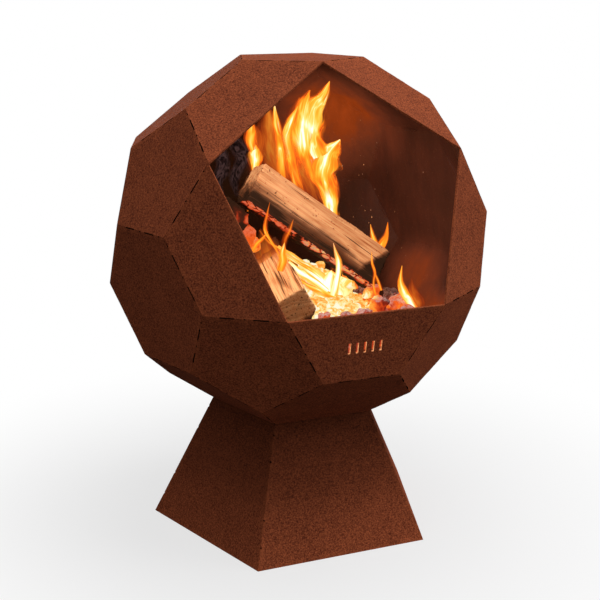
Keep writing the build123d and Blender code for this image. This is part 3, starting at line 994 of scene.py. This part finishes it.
def ember_material(name):
    """Coal that glows by its own heat and carries its own dust."""
    made, g, shader = material(name)
    ember = g.group(ember_skin(), heat=g.attribute("ember"), dust=g.attribute("dust"))
    finish(g, shader, {
        "Base Color": ember.outputs["Color"], "Roughness": ember.outputs["Roughness"],
        "Emission Color": ember.outputs["Glow"],
        "Normal": g.normal(ember.outputs["Height"], 0.6, 1.0 * MM)},
           Emission_Strength=1.0, Specular_IOR_Level=0.2)
    return made


def ash_painted_light_material(settings):
    """Grey ash with burnt bits in it, with the fire's light painted on as glow."""
    made, g, shader = material("Wood ash")
    place = g.object_place()
    crumbs = g.noise(place, 330, 3.0, 0.6)
    clouds = g.noise(place, 45, 3.0, 0.6)
    bits = g.span(g.noise(place, 190, 1.0, 0.5), 0.62, 0.68)
    grey = g.mix(g.span(clouds, 0.35, 0.65), (*settings.ash, 1), (0.20, 0.165, 0.15, 1))
    grey = g.mix(g.span(crumbs, 0.35, 0.65, 0.0, 0.5), grey, (0.5, 0.46, 0.44, 1))
    colour = g.mix(bits, grey, (0.025, 0.018, 0.016, 1))
    # Painted light: the fire's light on the ash, painted on as glow
    light = g.group(firelight()).outputs["Light"]
    lit = g.add("CombineColor", {0: g.times(light, 0.30), 1: g.times(light, 0.07),
                                 2: g.times(light, 0.02)}).outputs[0]
    finish(g, shader, {"Base Color": colour, "Emission Color": lit,
                       "Normal": g.normal(crumbs, 0.7, 1.2 * MM)}, Emission_Strength=1.0, Roughness=0.95)
    return made


def heart_heat(point):
    """Heat of the bed at a place: white-hot in the middle, red towards its edge."""
    flat = Vector((point.x, point.y))
    hearts = [strength * (1.0 - smooth_step((flat - Vector(place) * MM).length / MM, near, far))
              for place, near, far, strength in BED_HEARTS]
    return max(0.12, *hearts)


# Hot places of the bed, in millimetres from the ball's axis, the radii where they fade, and their
# heat
BED_HEARTS = (
    ((34, -6), 42, 74, 0.94), ((50, 36), 28, 60, 1.0), ((108, -12), 18, 52, 0.52),
    ((-34, 14), 14, 46, 0.55), ((40, -74), 40, 70, 0.36),
)


def shaped_bed(node, settings, seed, hotter):
    """A heap of embers with a broken surface of small coals."""
    bm = voxel_copy(merged_node(node), settings.bed_voxel)
    heat_layer, dust_layer = coal_layers(bm)
    moves = []
    for vertex in bm.verts:
        point = vertex.co
        cell = cell_crack(point + Vector((seed, 0, 0)) * MM, 12 * MM)
        lump = abs(uneven(point, 9 * MM, seed))
        moves.append(vertex.normal * -((1 - cell) * 4.0 * MM + lump * 2.5 * MM))
        patchy = 1.0 + 0.35 * uneven(point, 16 * MM, seed + 2) + hotter
        vertex[heat_layer] = min(1.0, heart_heat(point) * patchy * (0.80 + 0.24 * cell))
        ashy = smooth_step(uneven(point, 30 * MM, 12), 0.0, 0.5)
        vertex[dust_layer] = cell * ashy * (1 - heart_heat(point))
    shift_vertices(bm, moves)
    return bm


def shaped_lumps(settings):
    """The charcoal lumps, broken: white-hot in the middle of the bed, red under ash at its edge."""
    bm = voxel_copy(merged_node("charcoal_lumps"), settings.log_voxel)
    heat_layer, dust_layer = coal_layers(bm)
    moves = []
    for vertex in bm.verts:
        point = vertex.co
        cell = cell_crack(point, 13 * MM)
        depth = (1 - cell) * 2.4 * MM + abs(uneven(point, 7 * MM, 1)) * 2.0 * MM
        moves.append(vertex.normal * -depth)
        heart = heart_heat(point)
        low = 1.0 - smooth_step((point.z - ember_top) / MM, 4, 24)
        glow = heart * (0.80 + 0.28 * low) * (0.95 + 0.5 * uneven(point, 20 * MM, 7))
        vertex[heat_layer] = max(0.0, min(1.0, glow))
        top = smooth_step(vertex.normal.z + 0.6 * uneven(point, 12 * MM, 3), 0.0, 0.5)
        vertex[dust_layer] = top * (1.0 - smooth_step(heart, 0.5, 0.85))
    shift_vertices(bm, moves)
    return bm


def shaped_ash(settings):
    """The ash bed, hollowed by small craters and ridges on top."""
    bm = voxel_copy(merged_node("ash_bed"), 2 * settings.bed_voxel)
    moves = []
    for vertex in bm.verts:
        depth = abs(uneven(vertex.co, 26 * MM, 1)) * 5 * MM + abs(uneven(vertex.co, 9 * MM, 2)) * 2.2 * MM
        moves.append(Vector((0, 0, -depth * max(0.0, vertex.normal.z))))
    shift_vertices(bm, moves)
    return bm


def node_tree(name):
    """A CAD node's mesh as a tree that answers which of its points is nearest, or hit by a ray."""
    data = frame["nodes"][name].data
    return BVHTree.FromPolygons([v.co for v in data.vertices], [p.vertices[:] for p in data.polygons])


# Glowing pieces split from the charred log: place in millimetres from the ball's centre, size and
# heat
LOG_CHUNKS = (
    ((-46, 17, 3), 10, 0.46), ((-41, 12, -5), 7, 0.60), ((-50, 15, -9), 8, 0.40),
)


def add_lump(bm, layers, place, matrix, size, shift, heat, dust):
    """A rough lump of coal with its heat, and with ash on its upper side."""
    heat_layer, dust_layer = layers
    for vertex in bmesh.ops.create_icosphere(bm, subdivisions=2, radius=size)["verts"]:
        rough = 1 + 0.4 * noise.noise(vertex.co / size * 0.9 + Vector((shift, 0, 0)))
        vertex.co = place + (matrix @ (vertex.co * rough))
        vertex[heat_layer] = min(1.0, heat)
        vertex[dust_layer] = dust * smooth_step(vertex.co.z - place.z, 0, size * 0.4)


FRAGMENT_COUNT = 260


def ember_fragments(count, seed=7):
    """Small broken coals over the embers, clear of the logs, and chunks beside the charred log."""
    random.seed(seed)
    logs = [node_tree(name) for name in ("upper_log", "lower_log", "charred_log")]
    heaps = [node_tree(name) for name in ("ember_bed", "ember_mound")]
    radius = (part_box("ember_bed")[1].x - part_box("ember_bed")[0].x) / 2
    bm = bmesh.new()
    layers = coal_layers(bm)
    for place, size, heat in LOG_CHUNKS:
        shape = Matrix.Rotation(size, 4, "Z") @ Matrix.Diagonal((1.0, 0.8, 1.2, 1))
        add_lump(bm, layers, from_centre(place), shape, size * MM, size, heat, 0.3)
    down = Vector((0, 0, -1))
    for _ in range(count):
        angle, reach = random.uniform(0, 2 * math.pi), radius * math.sqrt(random.uniform(0, 0.75))
        size = random.uniform(3.0, 7.0) * MM
        spin, tip = random.uniform(0, 6.28), random.uniform(-0.5, 0.5)
        turn = Matrix.Rotation(spin, 4, "Z") @ Matrix.Rotation(tip, 4, "X")
        stretch = (random.uniform(0.8, 1.7), random.uniform(0.7, 1.0), random.uniform(0.5, 0.8), 1)
        shape = Matrix.Diagonal(stretch)
        heat, dust = random.uniform(0.75, 1.15), random.choice((0.0, 0.0, 0.7))
        shift = random.uniform(0, 9)
        above = Vector((reach * math.cos(angle), reach * math.sin(angle), ball_centre.z))
        tops = [hit for hit in (heap.ray_cast(above, down)[0] for heap in heaps) if hit]
        if not tops:
            continue
        place = max(tops, key=lambda hit: hit.z) - Vector((0, 0, 2.0 * MM))
        if min(tree.find_nearest(place)[3] for tree in logs) < 1.3 * size:
            continue
        hearth = heart_heat(place)
        add_lump(bm, layers, place, turn @ shape, size, shift, hearth * heat, dust * (1 - hearth))
    return bm


class BRAZIER_OT_logs(bpy.types.Operator):
    """Carves and chars the three logs, and paints the fire's light on them."""
    bl_idname = "brazier.logs"
    bl_label = "Logs"

    def execute(self, context):
        settings = context.scene.brazier_hearth
        pale = wood_painted_light_material("Split wood", settings, settings.pale_wood)
        brown = wood_painted_light_material("Lower log wood", settings, settings.brown_wood)
        black = wood_painted_light_material("Charred wood", settings, (0.10, 0.05, 0.03))
        logs = (
            ("upper_log", (1, 0, 0), upper_log_burn, upper_log_heat, pale, 1.0),
            ("lower_log", (0, 1, 0), lower_log_burn, lower_log_heat, brown, 4.0),
            ("charred_log", (0, 0, 1), charred_log_burn, charred_log_heat, black, 7.0),
        )
        for name, towards, burn, heat, item, seed in logs:
            bm = carve_log(name, towards, burn, heat, settings, seed)
            piece(name + "_wood", bm, [item], node=name, smooth=48)
        return {"FINISHED"}


class BRAZIER_OT_embers(bpy.types.Operator):
    """Ash, the heaps of embers, charcoal lumps and small coals."""
    bl_idname = "brazier.embers"
    bl_label = "Ash and embers"

    def execute(self, context):
        settings = context.scene.brazier_hearth
        coal = ember_material("Glowing coal")
        lumps = ember_material("Ashy charcoal")
        piece("ash_heap", shaped_ash(settings), [ash_painted_light_material(settings)], node="ash_bed", smooth=60)
        heap = shaped_bed("ember_bed", settings, 6, 0.0)
        piece("ember_heap", heap, [coal], node="ember_bed", smooth=35)
        ridge = shaped_bed("ember_mound", settings, 9, 0.15)
        piece("ember_ridge", ridge, [coal], node="ember_mound", smooth=35)
        piece("charcoal_pieces", shaped_lumps(settings), [lumps], node="charcoal_lumps", smooth=40)
        small = ember_fragments(FRAGMENT_COUNT)
        piece("ember_fragments", small, [coal], body="grate", smooth=40)
        return {"FINISHED"}


# Fire

def curve_at(points, share):
    """Point at a share of a smooth line through the given points (numbers or vectors)."""
    count = len(points) - 1
    at = min(max(share, 0.0), 1.0) * count
    i = min(int(at), count - 1)
    t = at - i
    before, a, b, after = points[max(i - 1, 0)], points[i], points[i + 1], points[min(i + 2, count)]
    return (a * 2 + (b - before) * t + (before * 2 - a * 5 + b * 4 - after) * t ** 2
            + (a * 3 - before - b * 3 + after) * t ** 3) * 0.5


def flame_tongue(bm, points, widths, powers, thickness, seed):
    """A closed tongue of flame along a line of points, flattened across the view from the mouth."""
    flow = bm.verts.layers.float_vector.new("flow")
    rise, side, power = (bm.verts.layers.float.new(name) for name in ("rise", "side", "power"))
    line = [from_centre(point) for point in points]
    length = sum((b - a).length for a, b in zip(line, line[1:]))
    stations = max(14, int(length / TONGUE_STEP / MM))
    rings = []
    for i in range(stations + 1):
        share = i / stations
        place = curve_at(line, share)
        ahead = (curve_at(line, share + 0.02) - curve_at(line, share - 0.02)).normalized()
        width = max(0.15, curve_at([float(w) for w in widths], share)) * MM
        strength = curve_at([float(v) for v in powers], share)
        across = Matrix.Rotation(0.3 * math.sin(seed * 3 + share * 4), 3, "Z") @ Vector(FLAME_ACROSS)
        across = (across - ahead * across.dot(ahead)).normalized()
        turn = Matrix((across, ahead.cross(across), ahead)).transposed().to_4x4()
        matrix = Matrix.Translation(place) @ turn @ Matrix.Diagonal((width, width * thickness, 1, 1))
        ring = bmesh.ops.create_circle(bm, segments=20, radius=1.0, matrix=matrix)["verts"]
        back = matrix.inverted()
        for vertex in ring:
            offset = back @ vertex.co
            vertex[flow] = (offset.x * width / MM, share * length / MM, seed * 50 + offset.y * 2)
            vertex[rise], vertex[side], vertex[power] = share, abs(offset.x), min(1.0, max(0.0, strength))
            wander = (offset.x * 0.9 + seed * 7, offset.y * 0.6, share * length / (17 * MM))
            vertex.co += (vertex.co - place) * noise.noise(Vector(wander)) * 2 * FLAME_RIPPLE
        rings.append(ring)
    bridge_rings(bm, rings)
    bmesh.ops.recalc_face_normals(bm, faces=bm.faces)


# Millimetres between two rings of a tongue, and how far a ring swells as a share of its size
TONGUE_STEP = 4.0
FLAME_RIPPLE = 0.22
# The way that a flame is widest: across the view from the mouth
FLAME_ACROSS = (0.927, -0.376, 0.0)


# What gives its own light only
UNLIT = {"Base_Color": (0.0, 0.0, 0.0, 1), "Roughness": 1.0, "Specular_IOR_Level": 0.0}


def flame_material(name, stops, density):
    """Flame colours by the place in the tongue: pale in the middle, orange and see-through at the edges."""
    made, g, shader = material(name)
    flow, side, power = g.attribute("flow", "Vector"), g.attribute("side"), g.attribute("power")
    broad = g.noise(g.stretch(flow, (0.075, 0.028, 1.0)), 1.0, 1.0, 0.4, 0.6)
    threads = g.noise(g.stretch(flow, (0.20, 0.030, 1.0)), 1.0, 1.0, 0.4, 0.8)
    ridge = g.span(g.maths("ABSOLUTE", g.minus(threads, 0.5)), 0.0, 0.12, 1.0, 0.0, smooth=True)
    core = g.span(side, 0.0, 0.95, 0.58, -0.08)
    heat = g.plus(core, g.times(g.minus(broad, 0.5), 1.3))
    heat = g.plus(heat, g.times(ridge, 0.20))
    heat = g.plus(heat, g.span(power, 0.0, 1.0, -0.50, 0.30), clamp=True)
    glow = g.ramp(heat, stops)
    ragged = g.plus(side, g.times(g.minus(broad, 0.5), 1.5))
    rim = g.span(ragged, 0.22, 0.98, 1.0, 0.0, smooth=True)
    full = g.times(rim, g.span(power, 0.05, 0.85))
    full = g.times(full, g.span(heat, 0.0, 0.35, 0.3, 1.0))
    alpha = g.times(full, density, clamp=True)
    finish(g, shader, {"Emission Color": glow, "Alpha": alpha}, Emission_Strength=1.5, **UNLIT)
    return made


# Flames: the points of each tongue's middle line in millimetres from the ball's centre, its half widths,
# and how strongly it burns, each from its foot to its tip
FLAMES = {
    "flame_tall": (
        ((60, 44, -70), (64, 48, -44), (66, 50, -22), (65, 53, 0), (63, 55, 21), (58, 56, 44),
         (48, 53, 66), (39, 49, 88), (37, 48, 110), (41, 46, 129), (48, 43, 142), (54, 40, 157)),
        (5, 5, 4.5, 6, 9, 12, 16, 17, 15, 13, 8, 0.8),
        (0, 0.2, 0.8, 1, 1, 0.95, 1, 1, 1, 1, 0.85, 0.6)),
    "flame_lobe": (
        ((46, 50, 20), (44, 52, 42), (38, 51, 62), (31, 50, 82), (27, 49, 100), (26, 48, 118),
         (29, 48, 134), (34, 46, 148)),
        (5, 7, 12, 14, 12, 11, 8, 1),
        (0, 0, 0.4, 0.9, 1, 0.9, 0.75, 0.5)),
    "flame_arrow": (
        ((60, 52, 4), (59, 53, 24), (55, 52, 44), (50, 46, 62), (52, 41, 76), (57, 37, 86), (64, 34, 96)),
        (3, 4, 8, 15, 15, 11, 0.8),
        (0, 0, 0.6, 1, 1, 0.95, 0.8)),
    "flame_left": (
        ((34, 48, 0), (30, 48, 25), (25, 51, 43), (17, 52, 66), (10, 48, 86), (8, 48, 103),
         (13, 46, 118), (19, 43, 132)),
        (6, 8, 9, 10, 8, 6.5, 5, 0.4),
        (0, 0, 0.25, 0.55, 0.6, 0.85, 0.9, 0.7)),
    "flame_second": (
        ((12, 40, 10), (9, 41, 33), (4, 45, 54), (2, 47, 76), (-1, 45, 95), (-4, 47, 114), (-5, 50, 137)),
        (5, 7, 8, 8, 7, 5.5, 0.4),
        (0, 0, 0.25, 0.45, 0.6, 0.7, 0.6)),
    "flame_curl": (
        ((40, 50, 10), (34, 46, 22), (24, 44, 34), (16, 46, 50), (14, 48, 66)),
        (4, 6, 7, 6, 0.5),
        (0, 0.35, 0.5, 0.4, 0.3)),
    "flame_torch": (
        ((-42, 32, 26), (-38, 35, 46), (-34, 37, 60), (-31, 40, 72), (-29, 43, 84), (-28, 45, 94)),
        (1.5, 1.8, 2.4, 5.5, 8.5, 1),
        (0.2, 0.3, 0.45, 0.85, 0.95, 0.6)),
    "flame_torch_tip": (
        ((-30, 44, 86), (-32, 46, 98), (-31, 49, 108), (-28, 53, 122)),
        (6, 8, 6.5, 0.4),
        (0.5, 0.7, 0.65, 0.5)),
    "flame_right": (
        ((112, 44, -56), (115, 46, -48), (116, 49, -38), (115, 51, -26), (113, 54, -14), (112, 56, -4)),
        (4, 7, 9, 6, 3, 0.4),
        (0, 0.55, 0.7, 0.6, 0.5, 0.4)),
    "flame_right_prong": (
        ((116, 46, -46), (119, 49, -36), (124, 50, -26), (129, 50, -16), (131, 51, -2)),
        (5, 7, 6, 4, 0.4),
        (0.3, 0.7, 0.65, 0.5, 0.4)),
    "flame_edge": (
        ((130, -28, -100), (128, -25, -88), (124, -20, -76), (119, -16, -67), (117, -11, -55),
         (120, -8, -38)),
        (4, 5, 6, 6, 4, 0.4),
        (0.5, 1, 1, 0.85, 0.7, 0.5)),
    "flame_notch": (
        ((72, -44, -58), (70, -43, -50), (70, -42, -42), (72, -40, -33), (70, -37, -24), (71, -34, -13)),
        (2.6, 2.6, 2.4, 2.4, 2, 0.3),
        (0.2, 0.35, 0.3, 0.4, 0.45, 0.4)),
    "flame_notch_side": (
        ((80, -40, -54), (78, -36, -45), (75, -33, -36), (74, -31, -28)),
        (2.5, 2.4, 2, 0.3),
        (0.35, 0.4, 0.3, 0.2)),
    "flame_left_front": (
        ((-34, -42, -12), (-37, -41, -2), (-42, -36, 8), (-46, -31, 18), (-44, -29, 31), (-39, -26, 46)),
        (2.2, 2.2, 2.6, 3.4, 2.2, 0.3),
        (0.3, 0.3, 0.4, 0.5, 0.4, 0.25)),
    "flame_left_wisp": (
        ((-30, -40, 0), (-28, -39, 10), (-23, -38, 18), (-18, -37, 29)),
        (3, 4.5, 3.5, 0.3),
        (0.1, 0.3, 0.3, 0.2)),
    "flame_left_root": (
        ((-34, -40, -22), (-31, -42, -12), (-31, -41, -3), (-28, -38, 6)),
        (4, 5, 4, 0.4),
        (0.7, 1, 0.9, 0.6)),
    "flame_left_small": (
        ((-62, -38, 0), (-58, -38, 7), (-52, -38, 12), (-46, -39, 19)),
        (2, 2.6, 2.2, 0.3),
        (0.4, 0.55, 0.5, 0.3)),
    "flame_bed_left": (
        ((-44, -8, 14), (-35, -14, 1), (-22, -14, -8), (-8, -15, -18), (6, -20, -27), (18, -26, -38)),
        (1.5, 2.6, 3.2, 2.6, 4, 2),
        (0.2, 0.35, 0.45, 0.6, 0.8, 0.9)),
    "flame_bed_low": (
        ((-10, -24, -34), (2, -32, -44), (14, -40, -50), (26, -44, -54)),
        (1.5, 4, 5, 2),
        (0.3, 0.6, 0.8, 0.9)),
}
VEILS = {
    "veil_left": (
        ((16, 62, 0), (20, 66, 22), (14, 68, 42), (6, 66, 66), (-2, 60, 90), (-7, 54, 112),
         (-12, 52, 134)),
        (14, 20, 25, 26, 24, 17, 0.5),
        (0, 0.3, 0.5, 0.65, 0.8, 0.9, 0.8)),
    "veil_under": (
        ((-8, 30, -58), (-14, 30, -42), (-18, 32, -26), (-22, 36, -10), (-26, 38, 6)),
        (14, 22, 24, 18, 0.5),
        (1, 1, 0.9, 0.6, 0.2)),
    "veil_right": (
        ((60, 64, -30), (58, 67, 8), (48, 70, 37), (38, 69, 65), (30, 67, 93), (24, 60, 118),
         (26, 56, 140)),
        (8, 12, 20, 26, 24, 16, 0.5),
        (0, 0.35, 0.6, 0.8, 0.8, 0.7, 0.6)),
    "veil_torch": (
        ((-36, 40, 40), (-32, 42, 60), (-28, 46, 80), (-25, 50, 98), (-28, 54, 116)),
        (3, 6, 11, 12, 0.5),
        (0.1, 0.4, 0.7, 0.9, 0.7)),
    "veil_edge": (
        ((136, -14, -92), (136, -10, -80), (134, -6, -68), (134, -4, -54)),
        (8, 12, 9, 0.5),
        (0.3, 0.9, 0.7, 0.3)),
}
HEARTS = {
    "flame_heart": (
        ((36, -8, -66), (33, -18, -56), (30, -24, -47), (28, -28, -39), (26, -32, -29)),
        (15, 23, 22, 15, 0.5),
        (0.7, 1, 1, 0.9, 0.5)),
    "flame_front": (
        ((22, -50, -50), (22, -54, -38), (24, -54, -27), (25, -52, -16), (24, -49, -8), (22, -46, 3)),
        (6, 4.8, 3.8, 3.4, 2.6, 0.4),
        (0.6, 0.9, 0.85, 0.8, 0.65, 0.5)),
    "flame_bed_middle": (
        ((-24, -10, -4), (-12, -11, -15), (0, -13, -23), (12, -20, -33), (24, -30, -46)),
        (2, 5, 4, 6, 4),
        (0.5, 0.8, 0.7, 0.9, 1)),
    "flame_bed_right": (
        ((-16, -19, -19), (-6, -25, -29), (4, -32, -37), (18, -42, -48)),
        (2, 4, 5, 3),
        (0.4, 0.7, 0.75, 0.9)),
}
HEART_STOPS = (
    (0.0, (0.95, 0.26, 0.02)), (0.30, (1.0, 0.45, 0.07)), (0.55, (1.0, 0.70, 0.30)),
    (0.8, (1.0, 0.92, 0.72)),
)
VEIL_STOPS = (
    (0.0, (0.12, 0.010, 0.002)), (0.35, (0.30, 0.034, 0.004)), (0.7, (0.55, 0.100, 0.008)),
    (1.0, (0.7, 0.22, 0.02)),
)


def fire_piece(name, bm, item):
    """A piece that goes with the fire and rides on the grate."""
    made = piece(name, bm, [item], body="grate", smooth=180)
    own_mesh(made)


class BRAZIER_OT_flames(bpy.types.Operator):
    """Tongues of flame over the embers, and the soft glow round them."""
    bl_idname = "brazier.flames"
    bl_label = "Flames"

    def execute(self, context):
        settings = context.scene.brazier_fire
        bright = flame_material("Flame", FLAME_STOPS, 1.7)
        soft = flame_material("Flame veil", VEIL_STOPS, 0.5)
        white = flame_material("White heart", HEART_STOPS, 2.6)
        for shapes, item in ((FLAMES, bright), (VEILS, soft), (HEARTS, white)):
            for seed, (name, (points, widths, powers)) in enumerate(shapes.items()):
                bm = bmesh.new()
                flame_tongue(bm, points, widths, powers, settings.flame_thickness, seed + 0.5)
                fire_piece(name, bm, item)
        return {"FINISHED"}


# Smoke: the points of each wisp's middle line in millimetres from the ball's centre, and its half widths
SMOKE = {
    "smoke_near": (
        ((-70, 20, 40), (-78, 22, 60), (-70, 26, 80), (-74, 30, 98), (-60, 32, 112)),
        (2, 7, 10, 7, 0.5)),
    "smoke_far": (
        ((-56, 22, 42), (-58, 28, 62), (-48, 32, 84), (-54, 38, 104), (-42, 42, 124)),
        (2, 6, 10, 8, 0.5)),
}


class BRAZIER_OT_smoke(bpy.types.Operator):
    """Wisps of smoke from the charred end of the upper log, their colour painted on as glow, with painted
    highlights on the curls.
    """
    bl_idname = "brazier.smoke"
    bl_label = "Smoke"

    def execute(self, context):
        made, g, shader = material("Smoke")
        flow, rise, side = g.attribute("flow", "Vector"), g.attribute("rise"), g.attribute("side")
        swirl = g.noise(g.stretch(flow, (0.06, 0.045, 1.0)), 1.0, 1.5, 0.5, 3.0)
        smoke_painted_curls = g.span(g.maths("ABSOLUTE", g.minus(swirl, 0.5)), 0.0, 0.10, 1.0, 0.0, smooth=True)
        # Painted light: the smoke is unlit, and its lighter curls are a painted highlight
        colour = g.mix(smoke_painted_curls, (0.006, 0.003, 0.003, 1), (0.075, 0.038, 0.036, 1))
        inside = g.span(side, 0.3, 1.0, 1.0, 0.0, smooth=True)
        soft = g.times(inside, g.span(rise, 0.0, 0.2, smooth=True))
        soft = g.times(soft, g.span(rise, 0.7, 1.0, 1.0, 0.0, smooth=True))
        alpha = g.times(soft, 0.6)
        finish(g, shader, {"Emission Color": colour, "Alpha": alpha}, Emission_Strength=1.0, **UNLIT)
        for seed, (name, (points, widths)) in enumerate(SMOKE.items()):
            bm = bmesh.new()
            flame_tongue(bm, points, widths, (1, 1), 0.5, seed + 30.5)
            fire_piece(name, bm, made)
        return {"FINISHED"}


# Sparks stay within so many millimetres of the ball's centre
SPARK_REACH = 155


class BRAZIER_OT_sparks(bpy.types.Operator):
    """Sparks and flecks of ash that rise from the fire."""
    bl_idname = "brazier.sparks"
    bl_label = "Sparks"

    def execute(self, context):
        made, g, shader = material("Spark")
        glow = g.mix(g.attribute("ember"), (0.16, 0.06, 0.035, 1), (0.75, 0.28, 0.10, 1))
        finish(g, shader, {"Emission Color": glow}, Emission_Strength=1.0, Base_Color=(0.05, 0.03, 0.02, 1))
        random.seed(21)
        bm = bmesh.new()
        heat = bm.verts.layers.float.new("ember")
        for _ in range(context.scene.brazier_fire.spark_count):
            place = Vector((random.uniform(40, 140), random.uniform(-30, 90), random.uniform(-50, 120)))
            size = random.choice((0.28, 0.35, 0.5)) * MM
            value = random.random() ** 2
            if place.length > SPARK_REACH:
                continue
            stretch = Matrix.Diagonal((1, 1, random.uniform(1, 2), 1))
            matrix = Matrix.Translation(from_centre(place)) @ stretch
            spark = bmesh.ops.create_icosphere(bm, subdivisions=1, radius=size, matrix=matrix)
            for vertex in spark["verts"]:
                vertex[heat] = value
        fire_piece("sparks", bm, made)
        return {"FINISHED"}


class BRAZIER_OT_stage(bpy.types.Operator):
    """Camera, lamps, floor and background."""
    bl_idname = "brazier.stage"
    bl_label = "Stage"

    def execute(self, context):
        settings = context.scene.brazier_stage
        scene = context.scene
        scene.view_settings.view_transform = "Standard"
        lens = bpy.data.cameras.new("camera")
        lens.lens, lens.sensor_width = settings.lens, 36.0
        camera = bpy.data.objects.new("camera", lens)
        camera.location = CAMERA_PLACE
        camera.rotation_euler = (math.radians(90 + CAMERA_PITCH), 0, math.radians(-CAMERA_HEADING))
        scene.collection.objects.link(camera)
        scene.camera = camera
        for name, (place, target, size, power) in LAMPS.items():
            self.lamp(scene, name, Vector(place), Vector(target), size, power * settings.lamp_share)
        self.world(scene)
        self.floor(scene, settings)
        return {"FINISHED"}

    def lamp(self, scene, name, place, target, size, power):
        """A soft square lamp that faces its target."""
        light = bpy.data.lights.new(name, "AREA")
        light.shape, light.size, light.energy = "SQUARE", size, power
        made = bpy.data.objects.new(name, light)
        made.location = place
        made.rotation_euler = (target - place).to_track_quat("-Z", "Y").to_euler()
        scene.collection.objects.link(made)

    def world(self, scene):
        """White to the camera and in reflections, and a plain dim grey light on the object."""
        world = bpy.data.worlds.new("studio")
        scene.world = world
        world.use_nodes = True
        g = Graph(world.node_tree)
        world.node_tree.nodes.clear()
        seen = g.add("Background", {"Color": (1, 1, 1, 1), "Strength": 1.0})
        light = g.add("Background", {"Color": (1, 1, 1, 1), "Strength": WORLD_LEVEL})
        path = g.add("LightPath").outputs
        direct = g.maths("MAXIMUM", path["Is Camera Ray"], path["Is Transmission Ray"])
        direct = g.maths("MAXIMUM", direct, path["Is Glossy Ray"])
        mixed = g.add("MixShader", {0: direct, 1: light.outputs[0], 2: seen.outputs[0]})
        g.add("OutputWorld", {"Surface": mixed.outputs[0]})

    def floor(self, scene, settings):
        """Pale floor that keeps the shadow close to the object and fades into the background."""
        bm = bmesh.new()
        bmesh.ops.create_grid(bm, x_segments=1, y_segments=1, size=FLOOR_SIZE)
        mesh = bpy.data.meshes.new("floor")
        bm.to_mesh(mesh)
        bm.free()
        made = bpy.data.objects.new("floor", mesh)
        scene.collection.objects.link(made)
        item = bpy.data.materials.new("floor")
        item.use_nodes = True
        g = Graph(item.node_tree)
        item.node_tree.nodes.clear()
        far = g.add("VectorMath", {0: g.object_place()}, operation="LENGTH").outputs["Value"]
        fade = g.span(far, 0.16, 0.55, 0.72, 1.0, smooth=True)
        path = g.add("LightPath").outputs
        pale = g.add("BsdfDiffuse", {"Color": (*settings.floor_colour, 1)})
        dull = g.add("BsdfDiffuse", {"Color": (FLOOR_BOUNCE, FLOOR_BOUNCE, FLOOR_BOUNCE, 1)})
        white = g.add("Emission", {"Color": (1, 1, 1, 1), "Strength": 1.0})
        shown = g.add("MixShader", {0: fade, 1: pale.outputs[0], 2: white.outputs[0]})
        mixed = g.add("MixShader", {0: path["Is Camera Ray"], 1: dull.outputs[0], 2: shown.outputs[0]})
        g.add("OutputMaterial", {"Surface": mixed.outputs[0]})
        mesh.materials.append(item)


CAMERA_PLACE = (-0.4524, -1.1265, 0.5692)
CAMERA_PITCH, CAMERA_HEADING = -15.32, 22.06
FLOOR_SIZE = 12.0
FLOOR_BOUNCE = 0.11
WORLD_LEVEL = 0.085
# Soft lamps: place, target, side length and power
LAMPS = {
    "overhead_lamp": ((0.35, -0.15, 1.75), (0, 0, 0.3), 1.5, 16.2),
    "right_lamp": ((1.6, -0.9, 0.70), (0, 0, 0.3), 1.1, 9.6),
    "left_lamp": ((-1.4, -1.2, 1.05), (0, 0, 0.3), 1.0, 4.4),
    "back_lamp": ((-0.3, 1.7, 0.75), (0, 0, 0.25), 1.1, 2.2),
}

OPERATORS = (
    BRAZIER_OT_ball, BRAZIER_OT_base, BRAZIER_OT_welds, BRAZIER_OT_grate, BRAZIER_OT_tray, BRAZIER_OT_logs,
    BRAZIER_OT_embers, BRAZIER_OT_flames, BRAZIER_OT_smoke, BRAZIER_OT_sparks, BRAZIER_OT_stage,
)
SETTINGS = {
    "brazier_steel": SteelSettings, "brazier_hearth": HearthSettings,
    "brazier_fire": FireSettings, "brazier_stage": StageSettings,
}


class VIEW3D_PT_brazier(bpy.types.Panel):
    """Sidebar panel with the settings and the steps."""
    bl_idname = "VIEW3D_PT_brazier"
    bl_label = "Tabletop brazier"
    bl_space_type = "VIEW_3D"
    bl_region_type = "UI"
    bl_category = "Brazier"

    def draw(self, context):
        for name, kind in SETTINGS.items():
            box = self.layout.box()
            for setting in kind.__annotations__:
                box.prop(getattr(context.scene, name), setting)
        for operator in OPERATORS:
            self.layout.operator(operator.bl_idname)


CLASSES = (*SETTINGS.values(), *OPERATORS, VIEW3D_PT_brazier)


def register():
    for item in CLASSES:
        bpy.utils.register_class(item)
    for name, kind in SETTINGS.items():
        setattr(bpy.types.Scene, name, bpy.props.PointerProperty(type=kind))


def unregister():
    for name in SETTINGS:
        delattr(bpy.types.Scene, name)
    for item in reversed(CLASSES):
        bpy.utils.unregister_class(item)


def main():
    register()
    for operator in OPERATORS:
        group, step = operator.bl_idname.split(".")
        getattr(getattr(bpy.ops, group), step)()


if __name__ == "__main__":
    main()
